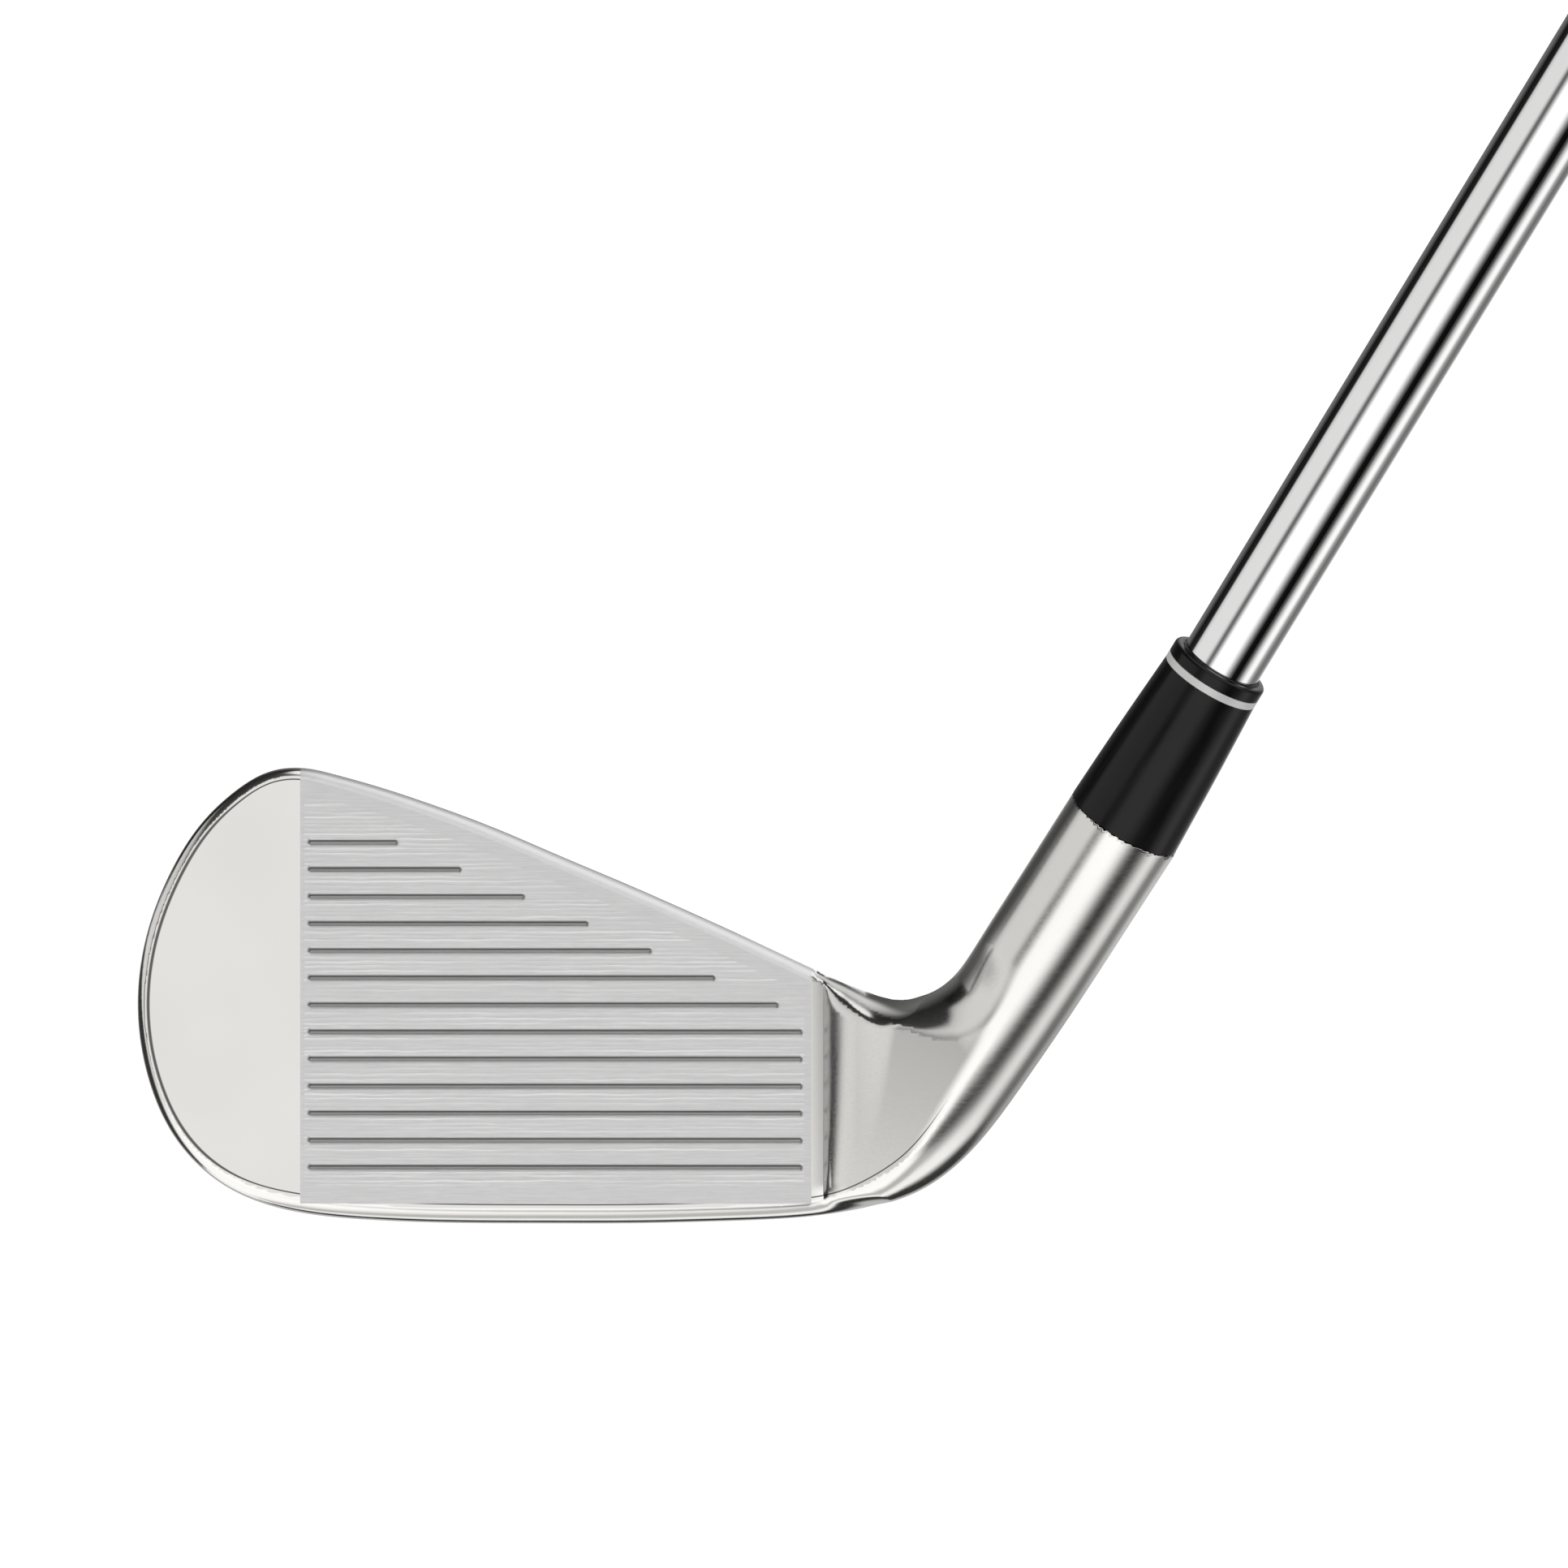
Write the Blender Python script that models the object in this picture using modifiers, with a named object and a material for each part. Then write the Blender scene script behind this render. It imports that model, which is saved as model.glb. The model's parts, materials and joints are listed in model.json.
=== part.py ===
"""Iron golf club: a 20 degree long iron with a forged cavity-back head, a welded face plate,
a ringed ferrule, a stepped steel shaft and a rubber grip, soled as at address.

Row frame, metres: +X runs from toe to heel, -Y to the target, +Z up. The origin lies on the shaft
axis in the middle of the grip, where the club is held. The ground frame has the same axes and its
origin on the flat of the sole, under the middle of the scorelines. Dimensions are millimetres.
"""

import math

import bmesh
import bpy
from mathutils import Matrix, Vector

MM = 0.001
MERGE = 0.005 * MM

# Club
LOFT = math.radians(20.0)
LIE = math.radians(61.0)
CLUB_LENGTH = 990.6
OFFSET = 3.0
FIT_GAP = 0.3
CUT_OVERRUN = 2.0

# Head, in the face frame: u along X to the heel, v up the face, w out of the face
LEADING_RADIUS = 2.9
RIM_RADIUS = 1.4
BLANK_DEPTH = 26.0
SOLE_FLAT = 3.0
SOLE_FRONT_RADIUS = 15.0
SOLE_REAR_RADIUS = 40.0
SOLE_REAR_ANGLE = math.radians(13.0)
SOLE_CAMBER_RADIUS = 190.0
SOLE_CAMBER_FLAT = 12.0
BLADE_STATIONS = (-60, -48, -36, -24, -12, 12, 18, 24, 28, 32.6)
TRAILING_RADIUS = 2.2
TRAILING_TURN = math.radians(62.0)
FLANGE_TOP_V = 17.5
FLANGE_TOP_W = -9.6
BACK_W = -5.8
BACK_START_V = 21.0
BLANK_TOP_V = 62.0
PLATE_THICKNESS = 2.8
PLATE_HEEL_U = 31.7
POCKET_FLOOR_W = -PLATE_THICKNESS - FIT_GAP

# Scorelines
GROOVES = 13
GROOVE_PITCH = 3.18
GROOVE_RADIUS = 0.36
GROOVE_TOE_U = -29.0
GROOVE_HEEL_U = 29.0
GROOVE_LOW_V = 6.5
FULL_GROOVES = 6
GROOVE_STEP_FIRST = 2.8
GROOVE_STEP_U = 7.45

# Cavity pad and badge
PAD_THICKNESS = 1.2
BADGE_THICKNESS = 0.8
BADGE_INSET = 1.0

# Toe weight
WEIGHT_U = -32.0
WEIGHT_V = 9.9
WEIGHT_RADIUS = 4.4
WEIGHT_LENGTH = 5.6

# Hosel, ferrule, shaft and grip, as distances up the shaft axis from the ground
HOSEL_RADIUS = 6.85
HOSEL_TOP = 57.3
BORE_BOTTOM = 26.0
TIP_END = 27.3
TIP_WEIGHT_TOP = 49.0
SHAFT_TIP_RADIUS = 4.7
SHAFT_BUTT_RADIUS = 7.62
SHAFT_BUTT = 985.6
FIRST_STEP = 255.0
LAST_STEP = 640.0
STEPS = 15
STEP_SLOPE = 1.2
TIP_WALL = 0.75
BUTT_WALL = 0.38
FERRULE_RING_BASE = 76.9
FERRULE_RING_TOP = 77.85
FERRULE_TOP = 79.4
FERRULE_RING_RADIUS = 5.85
COLLAR_EDGE = 0.5
GRIP_MOUTH = 723.6
GRIP_MOUTH_RADIUS = 9.1
GRIP_BUTT_RADIUS = 12.9
CAP_BASE = 981.0
CAP_RADIUS = 13.6
VENT_RADIUS = 1.5
TAPE_THICKNESS = 0.25
BAND_BASE = 655.0
BAND_TOP = 712.0
BAND_THICKNESS = 0.15
HOLD = 870.0

FACE_BASE_Y = -SOLE_FLAT / 2 - SOLE_FRONT_RADIUS * math.sin(LOFT) - LEADING_RADIUS * math.cos(LOFT)
FACE_BASE_Z = SOLE_FRONT_RADIUS * (1 - math.cos(LOFT)) + LEADING_RADIUS * math.sin(LOFT)
LEADING_EDGE_Y = FACE_BASE_Y + LEADING_RADIUS * (math.sin(LOFT) + math.cos(LOFT) - 1)
AXIS_Y = LEADING_EDGE_Y - OFFSET + HOSEL_RADIUS
AXIS_GROUND_X = 38.4
SEGMENTS = 32

# The blade's outline seen square to the face, Bezier knots (u, v), from the heel round the toe
OUTLINE = (
    (35.5, 20.0),
    (34.4, 27.2),
    (31.0, 29.4),
    (16.0, 36.1),
    (2.0, 42.3),
    (-12.0, 48.2),
    (-22.0, 51.5),
    (-30.0, 53.4),
    (-38.2, 50.4),
    (-45.0, 41.6),
    (-49.2, 25.6),
    (-45.6, 11.2),
    (-38.6, 4.0),
    (-30.0, 0.9),
    (-20.0, -0.3),
    (0.0, -1.0),
    (22.0, -1.0),
    (33.0, 0.0),
    (35.5, 6.0),
)

# The opening of the back cavity, Bezier knots (u, v)
CAVITY = (
    (28.2, 19.5),
    (25.0, 25.2),
    (14.0, 30.6),
    (2.0, 35.9),
    (-11.0, 41.3),
    (-24.0, 45.8),
    (-33.5, 45.6),
    (-39.5, 40.8),
    (-42.3, 32.5),
    (-41.3, 23.5),
    (-36.5, 18.2),
    (-26.0, 16.0),
    (-12.0, 14.8),
    (4.0, 13.9),
    (18.0, 13.2),
    (25.3, 14.4),
)

# Sections down the neck from blade to hosel, face frame: the section's ends at the saddle (u, v)
# and at the heel (u, v), its size, and how far its front and its back have turned round
NECK = (
    (28.0, 30.7, 28.0, 0.7, 0.90, 0.0, 0.0),
    (31.6, 29.1, 31.6, 0.8, 0.985, 0.0, 0.0),
    (32.5, 28.75, 32.7, 0.85, 1.0, 0.13, 0.02),
    (35.0, 27.7, 37.0, 1.75, 1.0, 0.25, 0.08),
    (38.0, 26.7, 43.0, 4.0, 1.0, 0.42, 0.25),
    (41.0, 26.2, 47.8, 7.5, 1.0, 0.62, 0.50),
    (44.0, 26.8, 51.7, 12.0, 1.0, 0.80, 0.72),
    (46.3, 28.4, 55.2, 16.8, 1.0, 0.90, 0.87),
    (48.2, 30.6, 58.7, 21.8, 1.0, 0.97, 0.96),
)
NECK_POINTS = 22
NECK_END = 36.0

STEEL = ("satin_steel", (0.72, 0.71, 0.68), 0.28, 1.0)
BLASTED = ("blasted_steel", (0.62, 0.62, 0.62), 0.5, 1.0)
CHROME = ("chrome", (0.86, 0.86, 0.85), 0.05, 1.0)
BLACK = ("gloss_black", (0.02, 0.02, 0.02), 0.2, 0.0)
SILVER = ("silver_ring", (0.68, 0.68, 0.68), 0.4, 0.6)
RUBBER = ("grip_rubber", (0.03, 0.03, 0.03), 0.75, 0.0)
CAP_RUBBER = ("cap_rubber", (0.04, 0.04, 0.04), 0.6, 0.0)
TUNGSTEN = ("tungsten", (0.32, 0.32, 0.34), 0.4, 1.0)
BRASS = ("brass", (0.7, 0.52, 0.22), 0.3, 1.0)
BADGE = ("badge_aluminium", (0.55, 0.56, 0.58), 0.35, 1.0)
PAD = ("damping_pad", (0.05, 0.05, 0.05), 0.8, 0.0)
TAPE = ("grip_tape", (0.75, 0.72, 0.64), 0.8, 0.0)
FILM = ("band_film", (0.1, 0.1, 0.11), 0.25, 0.0)


def clear_scene():
    for obj in list(bpy.data.objects):
        bpy.data.objects.remove(obj)


def new_collection(name):
    collection = bpy.data.collections.new(name)
    bpy.context.scene.collection.children.link(collection)
    return collection


clear_scene()
CLUB = new_collection("iron_golf_club")
CUTTERS = new_collection("cutters")


def material(spec):
    name, colour, roughness, metallic = spec
    found = bpy.data.materials.get(name)
    if found:
        return found
    made = bpy.data.materials.new(name)
    made.use_nodes = True
    shader = made.node_tree.nodes["Principled BSDF"]
    shader.inputs["Base Color"].default_value = (*colour, 1.0)
    shader.inputs["Roughness"].default_value = roughness
    shader.inputs["Metallic"].default_value = metallic
    return made


def new_empty(name, location, rotation, parent=None):
    empty = bpy.data.objects.new(name, None)
    empty.parent = parent
    CLUB.objects.link(empty)
    empty.location = Vector(location) * MM
    empty.rotation_euler = rotation
    return empty


HOLD_X = AXIS_GROUND_X + HOLD * math.cos(LIE)
HOLD_Z = HOLD * math.sin(LIE)
GROUND = new_empty("ground", (-HOLD_X, -AXIS_Y, -HOLD_Z), (0, 0, 0))
FACE_FRAME = new_empty("face_frame", (0, FACE_BASE_Y, FACE_BASE_Z), (math.pi / 2 - LOFT, 0, 0), GROUND)
SHAFT_AXIS = new_empty("shaft_axis", (AXIS_GROUND_X, AXIS_Y, 0), (0, math.pi / 2 - LIE, 0), GROUND)


def place(obj, frame, spec=None):
    """Link obj into the club, or into the cutters when it has no finish, and set it in a frame."""
    (CLUB if spec else CUTTERS).objects.link(obj)
    obj.parent = frame
    if spec:
        obj.data.materials.append(material(spec))
    else:
        obj.hide_render = True
        obj.display_type = "WIRE"
    return obj


def shade(obj):
    obj.data.shade_smooth()
    obj.data.set_sharp_from_angle(angle=math.radians(35))
    return obj


def boolean(obj, operation, other):
    modifier = obj.modifiers.new(f"{operation.lower()}_{other.name}", "BOOLEAN")
    modifier.operation = operation
    modifier.object = other
    return modifier


def turned(name, profile, frame, spec=None, segments=SEGMENTS):
    """A ring or solid turned about the frame's Z axis; (radius, height) runs down the outside."""
    closed = min(radius for radius, _ in profile) > 0
    mesh = bpy.data.meshes.new(name)
    points = [(radius * MM, 0, height * MM) for radius, height in profile]
    edges = [(i, i + 1) for i in range(len(points) - 1)]
    if closed:
        edges.append((len(points) - 1, 0))
    mesh.from_pydata(points, edges, [])
    obj = place(bpy.data.objects.new(name, mesh), frame, spec)
    screw = obj.modifiers.new("screw", "SCREW")
    screw.steps = screw.render_steps = segments
    screw.use_merge_vertices = True
    screw.merge_threshold = MERGE
    screw.use_smooth_shade = True
    return obj


def flat_outline(name, knots, low_w, high_w, frame, spec=None, rim=0.0, inset=0.0):
    """A closed smooth outline in the face plane, extruded from low_w to high_w, as a closed mesh."""
    curve = bpy.data.curves.new(name + "_outline", "CURVE")
    curve.dimensions = "2D"
    curve.fill_mode = "BOTH"
    curve.resolution_u = 8
    curve.extrude = ((high_w - low_w) / 2 - rim) * MM
    curve.bevel_depth = rim * MM
    curve.bevel_resolution = 3
    curve.offset = -(rim + inset) * MM
    spline = curve.splines.new("BEZIER")
    spline.bezier_points.add(len(knots) - 1)
    for point, (u, v) in zip(spline.bezier_points, knots):
        point.co = (u * MM, v * MM, 0)
        point.handle_left_type = point.handle_right_type = "AUTO"
    spline.use_cyclic_u = True
    obj = solid_from_curve(name, curve, frame, spec)
    obj.location.z = (low_w + high_w) / 2 * MM
    return obj


def solid_from_curve(name, curve, frame, spec=None):
    """The curve's surface as one closed mesh, with its caps welded to its sides."""
    guide = bpy.data.objects.new(name + "_guide", curve)
    CUTTERS.objects.link(guide)
    evaluated = guide.evaluated_get(bpy.context.evaluated_depsgraph_get())
    mesh = bpy.data.meshes.new_from_object(evaluated)
    mesh.name = name
    bpy.data.objects.remove(guide)
    bm = bmesh.new()
    bm.from_mesh(mesh)
    bmesh.ops.remove_doubles(bm, verts=bm.verts, dist=MERGE)
    bmesh.ops.recalc_face_normals(bm, faces=bm.faces)
    bm.to_mesh(mesh)
    bm.free()
    mesh.materials.clear()
    return place(bpy.data.objects.new(name, mesh), frame, spec)


def box(name, low, high, frame):
    """A box cutter between two corners of a frame."""
    bm = bmesh.new()
    bmesh.ops.create_cube(bm, size=1.0)
    size = Vector(high) - Vector(low)
    centre = (Vector(high) + Vector(low)) / 2
    bmesh.ops.scale(bm, vec=size * MM, verts=bm.verts)
    bmesh.ops.translate(bm, vec=centre * MM, verts=bm.verts)
    mesh = bpy.data.meshes.new(name)
    bm.to_mesh(mesh)
    bm.free()
    return place(bpy.data.objects.new(name, mesh), frame)


def rod(name, radius, low, high, frame, spec=None, segments=SEGMENTS):
    """A cylinder whose axis runs from low to high."""
    low, high = Vector(low) * MM, Vector(high) * MM
    bm = bmesh.new()
    bmesh.ops.create_cone(
        bm,
        cap_ends=True,
        segments=segments,
        radius1=radius * MM,
        radius2=radius * MM,
        depth=(high - low).length,
    )
    turn = (high - low).to_track_quat("Z", "Y").to_matrix().to_4x4()
    bmesh.ops.transform(bm, matrix=Matrix.Translation((low + high) / 2) @ turn, verts=bm.verts)
    mesh = bpy.data.meshes.new(name)
    bm.to_mesh(mesh)
    bm.free()
    return place(bpy.data.objects.new(name, mesh), frame, spec)


def face_to_ground(u, v, w):
    """A face-frame point in the ground frame."""
    y = FACE_BASE_Y + v * math.sin(LOFT) - w * math.cos(LOFT)
    z = FACE_BASE_Z + v * math.cos(LOFT) + w * math.sin(LOFT)
    return Vector((u, y, z))


def axis_point(height):
    """The point of the shaft axis this far up from the ground, in the ground frame."""
    reach = Vector((math.cos(LIE), 0, math.sin(LIE))) * height
    return Vector((AXIS_GROUND_X, AXIS_Y, 0)) + reach


def ground_to_face(y, z):
    """A ground-frame point (y, z) as (v, w) in the face frame."""
    y, z = y - FACE_BASE_Y, z - FACE_BASE_Z
    v = y * math.sin(LOFT) + z * math.cos(LOFT)
    w = z * math.sin(LOFT) - y * math.cos(LOFT)
    return Vector((v, w))


def axis_in_face(height):
    """The same point in the face frame."""
    point = axis_point(height)
    return Vector((point.x, *ground_to_face(point.y, point.z)))


def arc(centre, radius, start, end, count):
    """Points (y, z) on an arc whose normal turns from start to end, measured from straight down."""
    points = []
    for i in range(count + 1):
        angle = start + (end - start) * i / count
        points.append((centre[0] + radius * math.sin(angle), centre[1] - radius * math.cos(angle)))
    return points


def sole_and_flange():
    """Section points (y, z) from the leading edge under the sole and up the flange to the back."""
    leading = face_to_ground(0, LEADING_RADIUS, -LEADING_RADIUS)
    front = (-SOLE_FLAT / 2, SOLE_FRONT_RADIUS)
    rear = (SOLE_FLAT / 2, SOLE_REAR_RADIUS)
    reach = SOLE_REAR_RADIUS - TRAILING_RADIUS
    trailing = (
        rear[0] + reach * math.sin(SOLE_REAR_ANGLE),
        rear[1] - reach * math.cos(SOLE_REAR_ANGLE),
    )
    edge = arc((leading.y, leading.z), LEADING_RADIUS, -LOFT - math.pi / 2, -LOFT, 6)
    sole = arc(front, SOLE_FRONT_RADIUS, -LOFT, 0, 4)[1:]
    sole += arc(rear, SOLE_REAR_RADIUS, 0, SOLE_REAR_ANGLE, 4)
    end_angle = SOLE_REAR_ANGLE + TRAILING_TURN
    sole += arc(trailing, TRAILING_RADIUS, SOLE_REAR_ANGLE, end_angle, 4)[1:]
    flange = face_to_ground(0, FLANGE_TOP_V, FLANGE_TOP_W)
    back = face_to_ground(0, BACK_START_V, BACK_W)
    return edge, sole + [(flange.y, flange.z), (back.y, back.z)]


def blade_section():
    """The blade's section (y, z) at the middle of the sole, taller than the outline it is cut to."""
    edge, rest = sole_and_flange()
    top = [face_to_ground(0, BLANK_TOP_V, BACK_W), face_to_ground(0, BLANK_TOP_V, 0)]
    return edge + rest + [(point.y, point.z) for point in top]


def camber(x):
    """How far the sole has risen at a distance x along the blade."""
    beyond = max(abs(x) - SOLE_CAMBER_FLAT, 0)
    return beyond * beyond / (2 * SOLE_CAMBER_RADIUS)


def loft(name, rings, frame):
    """A closed mesh through rings of equal length, capped at both ends."""
    bm = bmesh.new()
    loops = [[bm.verts.new(point * MM) for point in ring] for ring in rings]
    count = len(rings[0])
    for loop, following in zip(loops, loops[1:]):
        for i in range(count):
            j = (i + 1) % count
            bm.faces.new((loop[i], loop[j], following[j], following[i]))
    bm.faces.new(loops[0])
    bm.faces.new(loops[-1])
    bmesh.ops.recalc_face_normals(bm, faces=bm.faces)
    mesh = bpy.data.meshes.new(name)
    bm.to_mesh(mesh)
    bm.free()
    return place(bpy.data.objects.new(name, mesh), frame)


def blade_form():
    """The blade section carried along X with the sole's camber, the form the outline is cut to."""
    section = blade_section()
    rings = [[Vector((x, y, z + camber(x))) for y, z in section] for x in BLADE_STATIONS]
    return loft("blade_form", rings, GROUND)


def spread(path, count):
    """count + 1 points evenly spaced along a path of 2-D points."""
    lengths = [0.0]
    for start, end in zip(path, path[1:]):
        lengths.append(lengths[-1] + (end - start).length)
    points = []
    index = 0
    for i in range(count + 1):
        wanted = lengths[-1] * i / count
        while index < len(path) - 2 and lengths[index + 1] < wanted:
            index += 1
        span = lengths[index + 1] - lengths[index]
        points.append(path[index].lerp(path[index + 1], (wanted - lengths[index]) / span))
    return points


def heel_section():
    """The blade's heel section as (position from top -1 to bottom 1, w), front then back."""
    edge, rest = sole_and_flange()
    edge = [ground_to_face(y, z) for y, z in edge]
    rest = [ground_to_face(y, z) for y, z in rest]
    top_v = NECK[1][1] - NECK[1][3]
    rim = RIM_RADIUS
    corner = rim * (1 - math.sqrt(0.5))
    crest = Vector((top_v, BACK_W / 2))
    front = [crest, Vector((top_v, -rim)), Vector((top_v - corner, -corner)), Vector((top_v - rim, 0))]
    front += edge
    back = [edge[-1]] + rest + [Vector((top_v - rim, BACK_W)), Vector((top_v, BACK_W + rim)), crest]
    points = spread(front, NECK_POINTS) + spread(back, NECK_POINTS)[1:-1]
    return [Vector((1 - 2 * point.x / top_v, point.y)) for point in points]


def neck_knots():
    """The neck's sections with the round ones of the hosel added."""
    along = axis_in_face(1.0) - axis_in_face(0.0)
    across = Vector((along.y, -along.x, 0)).normalized() * HOSEL_RADIUS
    knots = list(NECK)
    for height in (NECK_END, HOSEL_TOP):
        centre = axis_in_face(height)
        saddle, heel = centre - across, centre + across
        knots.append((saddle.x, saddle.y, heel.x, heel.y, 1.0, 1.0, 1.0))
    return knots


def between(before, start, end, after):
    """Half way from start to end on the smooth curve through all four."""
    return [(9 * (b + c) - a - d) / 16 for a, b, c, d in zip(before, start, end, after)]


def neck_ring(knot, section):
    """A section of the neck, part flat like the blade's and part round like the hosel's."""
    saddle = Vector((knot[0], knot[1], 0))
    heel = Vector((knot[2], knot[3], 0))
    size, front_turn, back_turn = knot[4:]
    centre = (saddle + heel) / 2
    half = (heel - saddle) / 2 * size
    base = axis_in_face(0.0)
    along = axis_in_face(1.0) - base
    axis_w = base.z + along.z * (centre.y - base.y) / along.y
    out = along.cross(half).normalized()
    out = out if out.z > 0 else -out
    middle_w = BACK_W / 2
    ring = []
    for i, (position, w) in enumerate(section):
        angle = math.pi * i / NECK_POINTS
        turn = back_turn + (front_turn - back_turn) * (1 + math.sin(angle)) / 2
        flat = half * position + Vector((0, 0, middle_w + (w - middle_w) * size))
        rise = out * HOSEL_RADIUS * math.sin(angle)
        round_ = half * -math.cos(angle) + Vector((0, 0, axis_w)) + rise
        ring.append(centre + flat.lerp(round_, turn))
    return ring


def neck():
    """Neck and hosel, from inside the blade's heel, flat-faced there and round at the top."""
    knots = neck_knots()
    knots_in_blade = 3
    sections = knots[:knots_in_blade]
    for i in range(knots_in_blade - 1, len(knots) - 2):
        sections.append(between(knots[i - 1], knots[i], knots[i + 1], knots[i + 2]))
        sections.append(knots[i + 1])
    sections.append(knots[-1])
    section = heel_section()
    return loft("neck", [neck_ring(knot, section) for knot in sections], FACE_FRAME)


def head_body():
    body = flat_outline("head_body", OUTLINE, -BLANK_DEPTH, 0, FACE_FRAME, STEEL, rim=RIM_RADIUS)
    boolean(body, "INTERSECT", blade_form())
    boolean(body, "UNION", neck())
    bore_radius = SHAFT_TIP_RADIUS + FIT_GAP
    mouth = HOSEL_TOP + CUT_OVERRUN
    bore = [(0, mouth), (bore_radius, mouth), (bore_radius, BORE_BOTTOM), (0, BORE_BOTTOM)]
    boolean(body, "DIFFERENCE", turned("bore", bore, SHAFT_AXIS))
    boolean(body, "DIFFERENCE", plate_blank("plate_pocket", POCKET_FLOOR_W, CUT_OVERRUN, FIT_GAP))
    opening = flat_outline("cavity_opening", CAVITY, -BLANK_DEPTH, 0, FACE_FRAME)
    boolean(body, "DIFFERENCE", opening)
    floor = (WEIGHT_U, WEIGHT_V, POCKET_FLOOR_W - 2 * FIT_GAP - WEIGHT_LENGTH)
    mouth = (WEIGHT_U, WEIGHT_V, 0)
    pocket = rod("weight_pocket", WEIGHT_RADIUS + FIT_GAP, floor, mouth, FACE_FRAME)
    boolean(body, "DIFFERENCE", pocket)
    return shade(body)


def plate_blank(name, low_w, high_w, gap, spec=None):
    """The face plate's outline, straight at the heel and along the leading edge."""
    blank = flat_outline(name, OUTLINE, low_w, high_w, FACE_FRAME, spec, inset=RIM_RADIUS - gap)
    low = (BLADE_STATIONS[0], LEADING_RADIUS - gap, low_w - CUT_OVERRUN)
    high = (PLATE_HEEL_U + gap, BLANK_TOP_V, high_w + CUT_OVERRUN)
    limit = box(name + "_limit", low, high, FACE_FRAME)
    boolean(blank, "INTERSECT", limit)
    return blank


def groove_heel_end(index):
    """Where a scoreline ends towards the heel; the upper ones step back along the topline."""
    if index <= FULL_GROOVES - 1:
        return GROOVE_HEEL_U
    return GROOVE_HEEL_U - GROOVE_STEP_FIRST - GROOVE_STEP_U * (index - FULL_GROOVES)


def face_plate():
    plate = plate_blank("face_plate", -PLATE_THICKNESS, 0, 0, BLASTED)
    for index in range(GROOVES):
        v = GROOVE_LOW_V + GROOVE_PITCH * index
        low = (GROOVE_TOE_U, v, 0)
        high = (groove_heel_end(index), v, 0)
        groove = rod(f"groove_{index + 1}", GROOVE_RADIUS, low, high, FACE_FRAME, segments=8)
        boolean(plate, "DIFFERENCE", groove)
    return shade(plate)


def toe_weight():
    """Tungsten plug in a pocket behind the face plate."""
    top_w = POCKET_FLOOR_W - FIT_GAP
    low = (WEIGHT_U, WEIGHT_V, top_w - WEIGHT_LENGTH)
    high = (WEIGHT_U, WEIGHT_V, top_w)
    return shade(rod("toe_weight", WEIGHT_RADIUS, low, high, FACE_FRAME, TUNGSTEN))


def cavity_badge():
    """Damping pad on the back of the face plate and the badge bonded to it."""
    pad_top = POCKET_FLOOR_W
    pad_low = pad_top - PAD_THICKNESS
    badge_top = pad_low - FIT_GAP
    badge_low = badge_top - BADGE_THICKNESS
    pad = flat_outline("damping_pad", CAVITY, pad_low, pad_top, FACE_FRAME, PAD, inset=2 * FIT_GAP)
    badge = flat_outline("cavity_badge", CAVITY, badge_low, badge_top, FACE_FRAME, BADGE, inset=BADGE_INSET)
    return shade(pad), shade(badge)


def ferrule():
    """Black cone on the hosel, a silver ring and a black collar, each with the shaft through it."""
    inner = SHAFT_TIP_RADIUS + FIT_GAP
    outer = FERRULE_RING_RADIUS
    cone_low = HOSEL_TOP + FIT_GAP
    cone_top = FERRULE_RING_BASE - FIT_GAP
    ring_top = FERRULE_RING_TOP - FIT_GAP
    edge = COLLAR_EDGE
    cone = [(outer, cone_top), (HOSEL_RADIUS, cone_low), (inner, cone_low), (inner, cone_top)]
    ring = [(outer, ring_top), (outer, FERRULE_RING_BASE), (inner, FERRULE_RING_BASE), (inner, ring_top)]
    collar = [
        (inner, FERRULE_TOP),
        (outer - edge, FERRULE_TOP),
        (outer - 0.3 * edge, FERRULE_TOP - 0.3 * edge),
        (outer, FERRULE_TOP - edge),
        (outer, FERRULE_RING_TOP),
        (inner, FERRULE_RING_TOP),
    ]
    turned("ferrule_cone", cone, SHAFT_AXIS, BLACK)
    turned("ferrule_ring", ring, SHAFT_AXIS, SILVER)
    turned("ferrule_collar", collar, SHAFT_AXIS, BLACK)


def shaft():
    """Steel tube with a parallel tip, evenly spaced steps and a parallel butt."""
    growth = (SHAFT_BUTT_RADIUS - SHAFT_TIP_RADIUS) / STEPS
    spacing = (LAST_STEP - FIRST_STEP) / (STEPS - 1)
    outside = [(SHAFT_BUTT_RADIUS, SHAFT_BUTT)]
    for index in reversed(range(STEPS)):
        height = FIRST_STEP + spacing * index
        radius = SHAFT_TIP_RADIUS + growth * index
        outside.append((radius + growth, height + STEP_SLOPE))
        outside.append((radius, height))
    outside.append((SHAFT_TIP_RADIUS, TIP_END))
    inside = [
        (SHAFT_TIP_RADIUS - TIP_WALL, TIP_END),
        (SHAFT_TIP_RADIUS - TIP_WALL, FIRST_STEP),
        (SHAFT_BUTT_RADIUS - BUTT_WALL, LAST_STEP + 2 * STEP_SLOPE),
        (SHAFT_BUTT_RADIUS - BUTT_WALL, SHAFT_BUTT),
    ]
    return turned("shaft", outside + inside, SHAFT_AXIS, CHROME)


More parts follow.
